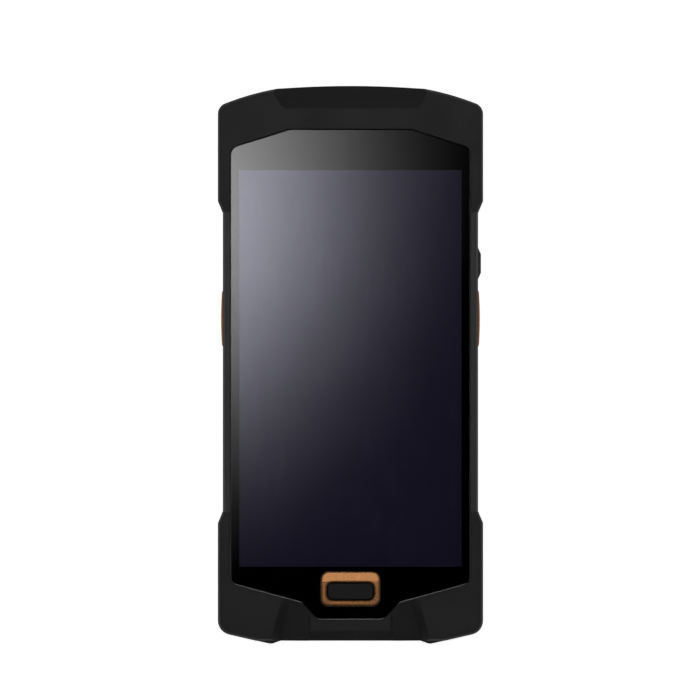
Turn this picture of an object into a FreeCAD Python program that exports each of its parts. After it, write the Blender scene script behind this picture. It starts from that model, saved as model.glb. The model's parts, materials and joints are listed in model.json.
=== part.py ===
import FreeCAD, Part
import math
import os
import re

import Sketcher

# Handheld payment terminal lying on its back: +X to the right of the screen,
# +Y towards the top end, +Z out of the screen, millimetres.

SIZES = {
    # Overall outline
    "total_length": 155.7,
    "bumper_side": 1.4,
    "body_width": 71.2,
    "thickness": 17.0,
    "back_step": 1.0,
    "split_height": 12.0,
    # Walls of the two mouldings
    "side_wall": 1.6,
    "floor_wall": 1.2,
    "bumper_front": 2.0,
    "back_round": 2.6,
    "bumper_back_round": 2.2,
    "front_bevel": 0.7,
    "end_wall_top": 2.65,
    "end_wall_bottom": 2.4,
    # Corners of the body under the bumpers
    "body_top_flat_half": 19.0,
    "body_top_corner_inset": 3.2,
    "body_top_corner_drop": 3.65,
    "body_top_side_drop": 6.95,
    "body_bottom_flat_half": 24.0,
    "body_bottom_corner_inset": 3.0,
    "body_bottom_corner_drop": 1.95,
    "body_bottom_side_drop": 5.6,
    # Ends of the side steps where the bumpers stop
    "top_step_from_end": 35.25,
    "bottom_step_from_end": 36.75,
    "step_run": 3.0,
    "bumper_edge": 0.2,
    # Crown of the top bumper
    "crown_radius": 255.0,
    "flank_radius": 78.0,
    "flank_centre_x": 6.6,
    "flank_rise": 0.42,
    "top_corner_round": 3.2,
    "crown_joint_round": 20.0,
    "step_round": 1.5,
    # Bottom bumper
    "bottom_corner_run": 10.6,
    "nub_rise": 0.85,
    "bottom_corner_drop": 3.3,
    "bottom_corner_round": 4.0,
    "nub_inner": 19.4,
    "nub_tip_inner": 21.8,
    "nub_tip_outer": 22.6,
    "nub_low": 3.0,
    "nub_high": 15.2,
    # Scoops in the front of both bumpers
    "top_scoop_half": 18.4,
    "top_scoop_flare": 4.0,
    "top_scoop_start": 6.4,
    "top_scoop_turn": 3.4,
    "top_scoop_turn_depth": 0.65,
    "top_scoop_depth": 2.8,
    "valley_start": 13.4,
    "valley_inner": 11.2,
    "valley_step": 0.5,
    "valley_step_share": 0.3,
    "valley_slope": 2.4,
    "valley_crease_start": 18.9,
    "valley_crease_end": 22.8,
    "valley_depth_start": 0.1,
    "valley_depth_end": 1.75,
    "end_slope_start": 3.5,
    "end_slope_depth": 2.1,
    "cutter_reach": 1.0,
    "arm_width": 10.6,
    "top_arm_window_from_end": 13.65,
    "bottom_arm_window_from_end": 17.05,
    # Glass, its lip and the display under it
    "rim_width": 2.2,
    "glass_top": 12.25,
    "glass_top_half": 16.9,
    "glass_shoulder": 17.4,
    "tongue_bottom": 6.85,
    "tongue_half": 9.1,
    "tongue_shoulder": 11.55,
    "tongue_shoulder_half": 13.6,
    "glass_low_shoulder": 16.95,
    "glass_corner_round": 2.6,
    "glass_gap": 0.1,
    "glass_recess": 0.5,
    "glass_thickness": 1.1,
    "glass_edge": 0.1,
    "lip_width": 1.2,
    "lip_cover": 1.0,
    "lip_bevel": 0.08,
    "gasket_thickness": 0.2,
    "gasket_inset": 0.15,
    "seat_thickness": 1.0,
    "display_border": 1.3,
    "side_border": 2.4,
    "active_from_top": 23.55,
    "active_from_bottom": 21.45,
    "display_foot": 0.8,
    "panel_thickness": 1.4,
    "backlight_thickness": 1.8,
    "display_gap": 0.3,
    "chassis_thickness": 0.6,
    # Home key and its ring
    "home_from_end": 15.25,
    "ring_length": 16.5,
    "ring_width": 9.5,
    "ring_round": 2.3,
    "ring_proud": 0.4,
    "ring_wall": 1.6,
    "ring_brow": 1.25,
    "ring_brow_drop": 0.4,
    "ring_bevel": 0.35,
    "ring_gap": 0.2,
    "home_key_drop": 0.35,
    "home_key_gap": 0.2,
    "home_key_flange": 0.8,
    "home_flange_lip": 1.0,
    "key_travel_gap": 0.45,
    "home_switch_height": 0.35,
    "home_key_round": 1.3,
    "home_key_face_round": 0.3,
    "home_board_thickness": 0.4,
    "home_board_length": 19.0,
    "home_board_width": 9.0,
    "home_switch_radius": 2.2,
    # Side keys
    "scan_key_from_top": 64.95,
    "scan_key_length": 15.6,
    "scan_key_height": 4.6,
    "scan_key_proud": 0.65,
    "scan_key_bow": 110.0,
    "power_key_from_top": 49.5,
    "power_key_length": 9.5,
    "power_key_height": 4.2,
    "power_key_proud": 0.95,
    "power_key_slope": 2.1,
    "side_key_level": 8.0,
    "side_key_gap": 0.2,
    "side_key_flange": 0.8,
    "side_flange_lip": 0.8,
    "side_key_round": 0.9,
    "side_key_face_round": 0.3,
    "side_switch_body": 0.5,
    "side_switch_plunger": 0.3,
    "side_switch_half": 2.0,
    "side_plunger_radius": 0.9,
    "side_board_thickness": 0.6,
    "side_board_margin": 1.0,
    # Battery bay and door
    "battery_side_room": 8.6,
    "battery_from_top": 43.85,
    "battery_from_bottom": 41.85,
    "battery_thickness": 5.7,
    "battery_gap": 0.3,
    "battery_end_gap": 0.9,
    "cell_round": 1.5,
    "bay_wall": 1.7,
    "bay_ceiling": 0.7,
    "door_seat": 0.7,
    "door_gap": 0.15,
    "door_tab_place": 18.0,
    "door_tab_half": 4.0,
    "door_tab_reach": 1.5,
    "door_tab_thickness": 0.7,
    "door_tab_gap": 0.1,
    "notch_half": 7.0,
    "notch_depth": 0.8,
    "notch_reach": 2.6,
    "contact_block_half": 7.0,
    "contact_block_depth": 3.2,
    "contact_block_height": 4.8,
    "contact_pitch": 4.0,
    "contact_half": 0.8,
    # Boards and what sits on them
    "board_thickness": 1.0,
    "board_side_room": 7.0,
    "board_from_top": 6.85,
    "board_from_bottom": 23.35,
    "board_tail_half": 9.0,
    "board_tail_gap": 0.6,
    "engine_notch_half": 11.6,
    "engine_notch_from_top": 14.45,
    "can_thickness": 0.4,
    "can_edge": 3.0,
    "can_row_from_top": 27.85,
    "can_row_middle": 6.0,
    "can_row_low": 8.0,
    "can_deep": 14.0,
    "can_wide": 26.0,
    "board_corner": 1.5,
    "socket_length": 15.0,
    "socket_width": 14.0,
    "cell_radius": 6.0,
    "standoff_radius": 2.0,
    "standoff_side_room": 10.3,
    "standoff_from_top": 31.85,
    "standoff_from_bottom": 35.65,
    "board_screw_head": 1.5,
    "board_screw_head_height": 0.7,
    "board_screw_radius": 0.75,
    "board_screw_depth": 4.0,
    "screw_gap": 0.05,
    # Screws of the housing
    "boss_radius": 2.1,
    "boss_side_room": 4.2,
    "boss_from_top": 13.35,
    "boss_from_bottom": 15.35,
    "screw_head_radius": 1.7,
    "screw_head_height": 1.1,
    "screw_radius": 0.95,
    "screw_length": 12.4,
    "screw_recess": 0.2,
    # Card reader at the bottom end
    "card_side_room": 8.6,
    "card_gap": 0.35,
    "card_slot_height": 1.3,
    "card_level": 4.2,
    "reader_wall": 1.3,
    "reader_mouth_gap": 1.2,
    "reader_length": 25.5,
    "reader_height": 3.8,
    "card_contact_pitch": 2.54,
    "card_contact_half": 0.5,
    "card_contact_length": 3.0,
    "card_contact_drop": 0.3,
    "card_contact_depth": 14.0,
    # Charging socket
    "usb_half": 4.6,
    "usb_height": 3.2,
    "usb_depth": 7.2,
    "usb_shell": 0.35,
    "usb_round": 1.45,
    "usb_inner_round": 1.1,
    "usb_opening_margin": 1.1,
    "usb_tongue_half": 3.3,
    "usb_tongue_thickness": 0.7,
    # Coil, camera and flash at the top
    "coil_side_room": 13.1,
    "coil_low_from_top": 37.25,
    "coil_high_from_top": 15.25,
    "coil_track": 3.0,
    "coil_thickness": 0.2,
    "ferrite_thickness": 0.25,
    "camera_side_room": 10.5,
    "camera_from_top": 25.35,
    "camera_half": 4.25,
    "camera_height": 3.4,
    "camera_barrel_radius": 2.7,
    "camera_cradle_height": 0.9,
    "camera_cradle_radius": 5.4,
    "camera_window_radius": 4.4,
    "camera_window_thickness": 0.5,
    "camera_sight_radius": 3.0,
    "camera_ring_height": 0.5,
    "camera_ring_width": 1.0,
    "flash_spacing": 9.8,
    "flash_radius": 1.9,
    "flash_led_half": 2.3,
    "flash_led_height": 0.8,
    "lens_gap": 0.1,
    # Scan engine and its window
    "engine_half": 10.0,
    "engine_depth": 8.4,
    "engine_height": 6.6,
    "engine_gap": 0.3,
    "engine_cradle": 1.2,
    "engine_lens_radius": 2.1,
    "engine_lens_x": 3.6,
    "engine_lamp_radius": 1.5,
    "engine_lens_reach": 0.8,
    "window_half": 10.5,
    "window_height": 6.4,
    "window_thickness": 0.9,
    "window_rim": 1.0,
    "window_gap": 0.1,
    # Speaker and vibration motor
    "speaker_x": 12.5,
    "speaker_half": 8.0,
    "speaker_high_from_end": 39.25,
    "speaker_low_from_end": 33.25,
    "speaker_height": 4.6,
    "mesh_thickness": 0.2,
    "grille_hole_radius": 0.6,
    "grille_pitch": 2.0,
    "motor_radius": 2.3,
    "motor_length": 8.0,
    "motor_x": 8.0,
    "motor_from_end": 36.25,
    "motor_seat": 0.8,
    "motor_weight_radius": 1.9,
    "motor_weight_length": 3.0,
}

# Widths and places that follow from the sizes, each from its own end or side.
PLACES = {
    "bumper_width": "(body_width + 2 * bumper_side)",
    "top_step": "(total_length / 2 - top_step_from_end)",
    "bottom_step": "(total_length / 2 - bottom_step_from_end)",
    "flank_centre_drop": "(flank_radius - flank_rise)",
    "bottom_flat_half": "(bumper_width / 2 - bottom_corner_run)",
    "arm_window_half": "(body_width / 2 - arm_width)",
    "top_arm_window": "(total_length / 2 - top_arm_window_from_end)",
    "bottom_arm_window": "(total_length / 2 - bottom_arm_window_from_end)",
    "active_half": "(body_width / 2 - rim_width - side_border)",
    "active_top": "(total_length / 2 - active_from_top)",
    "active_bottom": "(total_length / 2 - active_from_bottom)",
    "home_y": "(total_length / 2 - home_from_end)",
    "scan_key_y": "(total_length / 2 - scan_key_from_top)",
    "power_key_y": "(total_length / 2 - power_key_from_top)",
    "battery_half": "(body_width / 2 - battery_side_room)",
    "battery_top": "(total_length / 2 - battery_from_top)",
    "battery_bottom": "(total_length / 2 - battery_from_bottom)",
    "board_half": "(body_width / 2 - board_side_room)",
    "board_top": "(total_length / 2 - board_from_top)",
    "board_bottom": "(total_length / 2 - board_from_bottom)",
    "engine_notch_y": "(total_length / 2 - engine_notch_from_top)",
    "can_row_top": "(total_length / 2 - can_row_from_top)",
    "standoff_x": "(body_width / 2 - standoff_side_room)",
    "standoff_top_y": "(total_length / 2 - standoff_from_top)",
    "standoff_bottom_y": "(total_length / 2 - standoff_from_bottom)",
    "boss_x": "(body_width / 2 - boss_side_room)",
    "boss_top_y": "(total_length / 2 - boss_from_top)",
    "boss_bottom_y": "(total_length / 2 - boss_from_bottom)",
    "coil_half": "(body_width / 2 - coil_side_room)",
    "coil_low": "(total_length / 2 - coil_low_from_top)",
    "coil_high": "(total_length / 2 - coil_high_from_top)",
    "camera_x": "(coil_half - camera_side_room)",
    "camera_y": "(total_length / 2 - camera_from_top)",
    "flash_x": "(camera_x - flash_spacing)",
    "card_width": "(body_width - 2 * card_side_room)",
    "speaker_high": "(total_length / 2 - speaker_high_from_end)",
    "speaker_low": "(total_length / 2 - speaker_low_from_end)",
    "motor_y": "(total_length / 2 - motor_from_end)",
}

doc = FreeCAD.newDocument("terminal")
sheet = doc.addObject("Spreadsheet::Sheet", "sizes")
for row, (alias, size) in enumerate(SIZES.items(), start=1):
    sheet.set("A%d" % row, alias)
    sheet.set("B%d" % row, str(size))
    sheet.setAlias("B%d" % row, alias)
doc.recompute()

NODES = []
NEAR = 1e-4

# The ends and the side of the body
HALF = "body_width / 2"
TOP_END = "total_length / 2"
BOTTOM_END = "-(total_length / 2)"

# Levels and faces inside the part
FLOOR = "back_step"
FLOOR_TOP = "(back_step + floor_wall)"
COVER_LEVEL = "(thickness - bumper_front)"
GLASS_TOP = "(thickness - glass_recess)"
GLASS_LOW = "(thickness - glass_recess - glass_thickness)"
SEAT = "(thickness - glass_recess - glass_thickness - gasket_thickness)"
SEAT_LOW = "(%s - seat_thickness)" % SEAT
PANEL_LOW = "(%s - panel_thickness)" % GLASS_LOW
CHASSIS_TOP = "(%s - backlight_thickness)" % PANEL_LOW
CHASSIS_LOW = "(%s - chassis_thickness)" % CHASSIS_TOP
CEILING_LOW = "(%s + 2 * battery_gap + battery_thickness)" % FLOOR_TOP
BOARD_LOW = "(%s + bay_ceiling)" % CEILING_LOW
BOARD_TOP = "(%s + board_thickness)" % BOARD_LOW
TOP_FACE = "(total_length / 2 - end_wall_top)"
BOTTOM_FACE = "(-total_length / 2 + end_wall_bottom)"
BAY_HALF = "(battery_half + battery_gap)"
BAY_TOP = "(battery_top + battery_end_gap)"
BAY_BOTTOM = "(-battery_bottom - battery_gap)"
ENGINE_LOW = "(%s + engine_cradle)" % FLOOR_TOP
ENGINE_LEVEL = "(%s + engine_height / 2)" % ENGINE_LOW
USB_LEVEL = "(%s - usb_height / 2)" % BOARD_LOW
INNER_BOTTOM = "(%s + side_wall)" % BOTTOM_FACE
INNER_TOP = "(%s - side_wall)" % TOP_FACE
ENGINE_FRONT = "(%s - engine_gap - engine_lens_reach)" % INNER_TOP
MOTOR_LEVEL = "(%s + motor_seat + motor_radius)" % FLOOR_TOP
DOOR_TOP = "(%s + door_seat)" % BAY_TOP
DOOR_BOTTOM = "(%s - door_seat)" % BAY_BOTTOM
DOOR_HALF = "(%s + door_seat)" % BAY_HALF

# The two sides of the part, and the keys in them
SIDES = (("left", "-"), ("right", ""))
KEY_WALL = "(%s - side_wall)" % HALF
FLANGE_BACK = "(%s - side_key_flange)" % KEY_WALL
SWITCH_FRONT = "(%s - key_travel_gap)" % FLANGE_BACK
SWITCH_BACK = "(%s - side_switch_plunger - side_switch_body)" % SWITCH_FRONT
KEY_BOARD_BACK = "(%s - side_board_thickness)" % SWITCH_BACK
SIDE_KEYS = (
    ("left_scan_key", "-", "scan_key"),
    ("right_scan_key", "", "scan_key"),
    ("power_key", "", "power_key"),
)


def tied(text):
    """An expression over the sheet's cells, with the places written out."""
    def follow(word):
        name = word.group()
        if name in PLACES:
            return tied(PLACES[name])
        return "sizes." + name if name in SIZES else name

    return re.sub(r"[a-z_]+", follow, text)


def value(text):
    """What an expression over the sheet comes to."""
    return float(sheet.evalExpression(tied(text)))


def bind(item, **properties):
    for name, text in properties.items():
        item.setExpression(name, tied(text))
    return item


def place(item, x="0", y="0", z="0"):
    for axis, text in zip("xyz", (x, y, z)):
        item.setExpression("Placement.Base." + axis, tied(text))
    return item


def both_sides(points):
    """A right half, from the bottom up, closed by its mirror image."""
    return list(points) + [("-(%s)" % x, y) for x, y in reversed(points)]


def draw(sketch, points):
    """A closed outline whose corners are held by the sheet."""
    count = len(points)
    turn = 2 * math.pi / count
    starts = [
        FreeCAD.Vector(math.cos(turn * index), math.sin(turn * index), 0)
        for index in range(count)
    ]
    for index in range(count):
        sketch.addGeometry(Part.LineSegment(starts[index], starts[(index + 1) % count]))
    for index in range(count):
        follower = (index + 1) % count
        sketch.addConstraint(Sketcher.Constraint("Coincident", index, 2, follower, 1))
    for index, pair in enumerate(points):
        for kind, text in zip(("DistanceX", "DistanceY"), pair):
            held = sketch.addConstraint(Sketcher.Constraint(kind, -1, 1, index, 1, 1.0))
            sketch.setExpression("Constraints[%d]" % held, tied(text))
    return sketch


def offset(source, amount, join):
    item = doc.addObject("Part::Offset2D", source.Name + "_grown")
    item.Source = source
    item.Mode = "Skin"
    item.Join = join
    return bind(item, Value=amount)


def slab(name, points, low, high, grow=None, corner=None):
    """A plate with an outline, its corners rounded and grown when asked."""
    sketch = draw(doc.addObject("Sketcher::SketchObject", name + "_line"), points)
    place(sketch, z=low)
    profile = doc.addObject("Part::Face", name + "_face")
    profile.Sources = [sketch]
    if corner:
        profile = offset(profile, "-(%s)" % corner, "Intersection")
        profile = offset(profile, corner, "Arc")
    if grow:
        profile = offset(profile, grow, "Arc" if corner else "Intersection")
    solid = doc.addObject("Part::Extrusion", name)
    solid.Base = profile
    solid.DirMode = "Custom"
    solid.Dir = FreeCAD.Vector(0, 0, 1)
    solid.Solid = True
    return bind(solid, LengthFwd="(%s) - (%s)" % (high, low))


def cross_section(name, points, y):
    """A closed outline standing across the length of the part."""
    sketch = draw(doc.addObject("Sketcher::SketchObject", name), points)
    sketch.Placement.Rotation = FreeCAD.Rotation(FreeCAD.Vector(1, 0, 0), 90)
    return place(sketch, y=y)


def loft(name, sections):
    item = doc.addObject("Part::Loft", name)
    item.Sections = sections
    item.Solid = True
    item.Ruled = True
    return item


def block(name, x, y, z):
    """A box between two values on each axis."""
    item = doc.addObject("Part::Box", name)
    spans = ["(%s) - (%s)" % (high, low) for low, high in (x, y, z)]
    bind(item, Length=spans[0], Width=spans[1], Height=spans[2])
    return place(item, x[0], y[0], z[0])


def rod(name, x, y, low, high, radius):
    """An upright cylinder."""
    item = doc.addObject("Part::Cylinder", name)
    bind(item, Radius=radius, Height="(%s) - (%s)" % (high, low))
    return place(item, x, y, low)


def lying_rod(name, axis, start, length, radius):
    """A cylinder along X or Y from a start point."""
    item = doc.addObject("Part::Cylinder", name)
    bind(item, Radius=radius, Height=length)
    turns = {"x": ((0, 1, 0), 90), "y": ((1, 0, 0), -90)}
    about, angle = turns[axis]
    item.Placement.Rotation = FreeCAD.Rotation(FreeCAD.Vector(*about), angle)
    return place(item, *start)


def fuse(name, items):
    item = doc.addObject("Part::MultiFuse", name)
    item.Shapes = items
    item.Refine = True
    return item


def common(name, items):
    item = doc.addObject("Part::MultiCommon", name)
    item.Shapes = items
    return item


def cut(name, base, tools):
    item = doc.addObject("Part::Cut", name)
    item.Base = base
    item.Tool = tools[0] if len(tools) == 1 else fuse(name + "_tools", tools)
    item.Refine = True
    return item


def compound(name, items):
    item = doc.addObject("Part::Compound", name)
    item.Links = items
    return item


def dress(name, kind, base, choices):
    """Fillets or chamfers on the edges that a test picks, one size each."""
    doc.recompute()
    item = doc.addObject("Part::" + kind, name)
    item.Base = base
    picked = []
    for number, edge in enumerate(base.Shape.Edges, start=1):
        for test, alias in choices:
            if test(edge.BoundBox):
                size = value(alias)
                picked.append((number, size, size))
                break
    item.Edges = picked
    return item


def node(item, label):
    item.Label = label
    NODES.append(item)
    return item


def upright(box):
    return box.XLength < NEAR and box.YLength < NEAR


def at_level(box, level):
    return abs(box.ZMin - level) < NEAR and abs(box.ZMax - level) < NEAR


BODY_LINE = both_sides([
    ("body_bottom_flat_half", BOTTOM_FACE),
    ("body_width / 2 - body_bottom_corner_inset", BOTTOM_FACE + " + body_bottom_corner_drop"),
    (HALF, BOTTOM_FACE + " + body_bottom_side_drop"),
    (HALF, TOP_FACE + " - body_top_side_drop"),
    ("body_width / 2 - body_top_corner_inset", TOP_FACE + " - body_top_corner_drop"),
    ("body_top_flat_half", TOP_FACE),
])
GLASS_LINE = both_sides([
    ("tongue_half", BOTTOM_END + " + tongue_bottom"),
    ("tongue_shoulder_half", BOTTOM_END + " + tongue_shoulder"),
    ("body_width / 2 - rim_width", BOTTOM_END + " + glass_low_shoulder"),
    ("body_width / 2 - rim_width", TOP_END + " - glass_shoulder"),
    ("glass_top_half", TOP_END + " - glass_top"),
])


def screw_places():
    """Centres of the four housing screws."""
    return [
        (side + "boss_x", y)
        for side in ("", "-")
        for y in ("boss_top_y", "-boss_bottom_y")
    ]


def standoff_places():
    """Centres of the four board screws."""
    return [
        (side + "standoff_x", y)
        for side in ("", "-")
        for y in ("standoff_top_y", "-standoff_bottom_y")
    ]


def body_envelope():
    """The outside of the body up to where the bumpers cover it."""
    shell = slab("body_shell", BODY_LINE, FLOOR, COVER_LEVEL)
    level = value("back_step")
    return dress("body_rounded", "Fillet", shell, [
        (lambda box: at_level(box, level), "back_round"),
    ])


def rim_envelope():
    """The raised rim beside the glass, between the bumpers."""
    rim = block("rim", ("-(%s)" % HALF, HALF), ("-bottom_step", "top_step"), (COVER_LEVEL, "thickness"))
    level = value("thickness")
    side = value("body_width") / 2
    return dress("rim_bevelled", "Chamfer", rim, [
        (lambda box: at_level(box, level) and abs(abs(box.XMin) - side) < NEAR
         and box.XLength < NEAR, "front_bevel"),
    ])


def lip_envelope():
    """The raised lip that follows the outline of the glass, under the bumpers."""
    return slab("lip", GLASS_LINE, COVER_LEVEL, "thickness - lip_cover",
                grow="lip_width", corner="glass_corner_round")


def glass_opening():
    """The well that the glass lies in, with a bevelled mouth."""
    well = slab("glass_well", GLASS_LINE, SEAT, "thickness + cutter_reach",
                grow="glass_gap", corner="glass_corner_round")
    mouth = slab("glass_mouth", GLASS_LINE, "thickness - lip_bevel", "thickness + cutter_reach",
                 grow="glass_gap + lip_bevel", corner="glass_corner_round")
    doc.recompute()
    level = value("thickness - lip_bevel")
    bevelled = dress("glass_mouth_bevelled", "Chamfer", mouth, [
        (lambda box: at_level(box, level), "lip_bevel"),
    ])
    return fuse("glass_opening", [well, bevelled])


def home_outline(length, width):
    return both_sides([
        ("(%s) / 2" % length, "-home_y - (%s) / 2" % width),
        ("(%s) / 2" % length, "-home_y + (%s) / 2" % width),
    ])


def key_outline(margin):
    """The opening inside the ring, under its wider brow, with a margin all round."""
    half = "ring_length / 2 - ring_wall + (%s)" % margin
    return both_sides([
        (half, "-home_y - ring_width / 2 + ring_wall - (%s)" % margin),
        (half, "-home_y + ring_width / 2 - ring_wall - ring_brow + (%s)" % margin),
    ])


def front_frame(envelope, rim, lip, opening):
    """The front moulding: side walls, rim, lip and the seat under the glass."""
    above = block("above_split", ("-body_width", "body_width"), ("-total_length", "total_length"),
                  ("split_height", "2 * thickness"))
    upper = common("upper_shell", [envelope, above])
    solid = fuse("frame_solid", [upper, rim, lip])
    inside = slab("frame_inside", BODY_LINE, "split_height - cutter_reach", SEAT_LOW,
                  grow="-side_wall")
    display = block("display_hole",
                    ("-active_half - display_border - display_gap",
                     "active_half + display_border + display_gap"),
                    ("-active_bottom - display_foot - display_gap",
                     "active_top + display_border + display_gap"),
                    (SEAT_LOW + " - cutter_reach", SEAT + " + cutter_reach"))
    key_hole = slab("home_key_hole", key_outline("0"),
                    SEAT_LOW + " - cutter_reach", SEAT + " + cutter_reach",
                    corner="ring_round - ring_bevel - home_key_gap")
    shell = cut("frame_shell", solid, [opening, inside, display, key_hole])
    bosses = [
        rod("frame_boss", x, y, CHASSIS_TOP, SEAT_LOW + " + home_key_gap", "boss_radius")
        for x, y in screw_places()
    ]
    bores = [
        rod("frame_bore", x, y, CHASSIS_TOP + " - cutter_reach",
            FLOOR + " + screw_recess + screw_length + screw_gap", "screw_radius + screw_gap")
        for x, y in screw_places()
    ]
    bossed = fuse("frame_bossed", [shell] + bosses)
    return node(cut("frame_bored", bossed, bores), "front_frame")


def bumper_tools(under, window_y, at_top):
    """What every bumper is cut with: the body, the screw holes and the gap between its arms."""
    tools = list(under)
    for x, y in screw_places():
        if y.startswith("-") != at_top:
            tools.append(rod("screw_access", x, y, "-cutter_reach", FLOOR + " + cutter_reach",
                             "screw_head_radius + 2 * screw_gap + lens_gap"))
    tools.append(block("arm_window", ("-arm_window_half", "arm_window_half"), window_y,
                       ("-cutter_reach", FLOOR + " + cutter_reach")))
    return tools


def bumper_edges(name, blank, corner_alias, at_top):
    """Round the upright corners, then soften the front and the back rim."""
    half = value("bumper_width") / 2
    sign = 1 if at_top else -1
    stop = value("top_step" if at_top else "bottom_step")
    middle = (stop + value("total_length") / 2) / 2

    def corner(box):
        return upright(box) and half - abs(box.XMin) < NEAR and sign * box.YMin > middle

    def step(box):
        return upright(box) and half - abs(box.XMin) < NEAR and sign * box.YMin < middle

    def joint(box):
        return at_top and upright(box) and half - abs(box.XMin) > NEAR and box.YMin > middle

    rounded = dress(name + "_rounded", "Fillet", blank,
                    [(corner, corner_alias), (step, "step_round"), (joint, "crown_joint_round")])
    inner = stop - value("step_run")

    def rim(level):
        return lambda box: (at_level(box, level)
                            and not (box.YLength < NEAR and sign * box.YMin < inner))

    backed = dress(name + "_backed", "Fillet", rounded, [(rim(0.0), "bumper_back_round")])
    return dress(name + "_bevelled", "Chamfer", backed,
                 [(rim(value("thickness")), "front_bevel")])


def top_bumper(under):
    """The cap over the top end: crowned edge, sloped scoop, window for the scanner."""
    foot = "body_width / 2 + bumper_edge"
    line = both_sides([
        (foot, "top_step - 2 * step_run"),
        (foot, "top_step + bumper_edge"),
        ("bumper_width / 2", "top_step + step_run"),
        ("bumper_width / 2", TOP_END),
    ])
    plate = slab("top_blank", line, "0", "thickness")
    crown = rod("crown", "0", TOP_END + " - crown_radius", "0", "thickness", "crown_radius")
    halves = []
    for side in ("", "-"):
        flank = rod("flank", side + "flank_centre_x", TOP_END + " - flank_centre_drop",
                    "0", "thickness", "flank_radius")
        half = block("top_side", across(side, "0", "bumper_width"), ("0", TOP_END),
                     ("0", "thickness"))
        halves.append(common("top_half", [plate, crown, flank, half]))
    blank = fuse("top_crowned", halves)
    softened = bumper_edges("top", blank, "top_corner_round", True)
    scoop = loft("top_scoop", [
        cross_section("scoop_start", scoop_outline("top_scoop_half", "top_scoop_flare", "0"),
                      TOP_END + " - top_scoop_start"),
        cross_section("scoop_turn",
                      scoop_outline("top_scoop_half", "top_scoop_flare", "top_scoop_turn_depth"),
                      TOP_END + " - top_scoop_turn"),
        cross_section("scoop_end",
                      scoop_outline("top_scoop_half", "top_scoop_flare", "top_scoop_depth"),
                      TOP_END + " + cutter_reach"),
    ])
    tools = bumper_tools(under, ("top_step - 3 * step_run", "top_arm_window"), True)
    below = block("top_below", ("-bumper_width", "bumper_width"), ("0", "top_step"),
                  ("-cutter_reach", "2 * thickness"))
    window = block("window_hole",
                   ("-window_half - window_gap", "window_half + window_gap"),
                   (TOP_FACE + " - cutter_reach", TOP_END + " + cutter_reach"),
                   ("%s - window_height / 2 - window_gap" % ENGINE_LEVEL,
                    "%s + window_height / 2 + window_gap" % ENGINE_LEVEL))
    return node(cut("top_bumper_solid", softened, tools + [scoop, below, window]), "top_bumper")


def scoop_outline(half, flare, depth):
    """A section across a slope: a flat floor with flared sides, open to the front."""
    return both_sides([
        (half, "thickness - %s" % depth),
        ("%s + %s" % (half, flare), "thickness + cutter_reach / 2"),
    ])


def valley_outline(side, crease, depth):
    """A side valley's section: a short step, a slow slope down and a steep one up to the crease."""
    points = [
        ("valley_inner", "thickness"),
        ("valley_inner + valley_step", "thickness - %s * valley_step_share" % depth),
        ("%s - valley_slope" % crease, "thickness - %s" % depth),
        (crease, "thickness"),
        (crease, "thickness + cutter_reach"),
        ("valley_inner", "thickness + cutter_reach"),
    ]
    return [("%s(%s)" % (side, x), z) for x, z in points]


def bottom_bumper(under):
    """The cap over the bottom end: two valleys and a slope in the front, two feet on the end."""
    foot = "body_width / 2 + bumper_edge"
    line = both_sides([
        ("bottom_flat_half", BOTTOM_END + " + nub_rise"),
        ("bumper_width / 2", BOTTOM_END + " + bottom_corner_drop"),
        ("bumper_width / 2", "-bottom_step - step_run"),
        (foot, "-bottom_step - bumper_edge"),
        (foot, "-bottom_step + 2 * step_run"),
    ])
    blank = slab("bottom_blank", line, "0", "thickness")
    softened = bumper_edges("bottom", blank, "bottom_corner_round", False)
    nubs = []
    for side in ("", "-"):
        nubs.append(slab("nub", [
            (side + "nub_inner", BOTTOM_END + " + nub_rise"),
            (side + "nub_tip_inner", BOTTOM_END),
            (side + "nub_tip_outer", BOTTOM_END),
            (side + "bottom_flat_half", BOTTOM_END + " + nub_rise"),
            (side + "(nub_tip_outer)", BOTTOM_END + " + 2 * nub_rise"),
        ], "nub_low", "nub_high"))
    footed = fuse("bottom_footed", [softened] + nubs)
    hollows = [
        loft(name + "_valley", [
            cross_section(name + "_valley_far",
                          valley_outline(side, "valley_crease_start", "valley_depth_start"),
                          BOTTOM_END + " + valley_start"),
            cross_section(name + "_valley_near",
                          valley_outline(side, "valley_crease_end", "valley_depth_end"),
                          BOTTOM_END + " - cutter_reach"),
        ])
        for name, side in SIDES
    ]
    middle = "valley_inner + valley_step / 2"
    hollows.append(loft("end_slope", [
        cross_section("end_slope_far", scoop_outline(middle, "0", "0"),
                      BOTTOM_END + " + end_slope_start"),
        cross_section("end_slope_near", scoop_outline(middle, "0", "end_slope_depth"),
                      BOTTOM_END + " - cutter_reach"),
    ]))
    tools = bumper_tools(under, ("-bottom_arm_window", "-bottom_step + 3 * step_run"), False)
    above = block("bottom_above", ("-bumper_width", "bumper_width"), ("-bottom_step", "0"),
                  ("-cutter_reach", "2 * thickness"))
    slot = card_slot("bumper_slot", "card_gap + bumper_edge")
    port = slab_across("port_opening", "usb_half + usb_opening_margin",
                       "usb_height / 2 + usb_opening_margin", USB_LEVEL)
    return node(cut("bottom_bumper_solid", footed, tools + hollows + [above, slot, port]),
                "bottom_bumper")


def card_slot(name, margin):
    """A wide thin opening through the bottom end for a card."""
    return block(name,
                 ("-card_width / 2 - (%s)" % margin, "card_width / 2 + (%s)" % margin),
                 (BOTTOM_END + " - cutter_reach", INNER_BOTTOM + " + cutter_reach"),
                 ("card_level - card_slot_height / 2 - (%s) + card_gap" % margin,
                  "card_level + card_slot_height / 2 + (%s) - card_gap" % margin))


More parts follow.
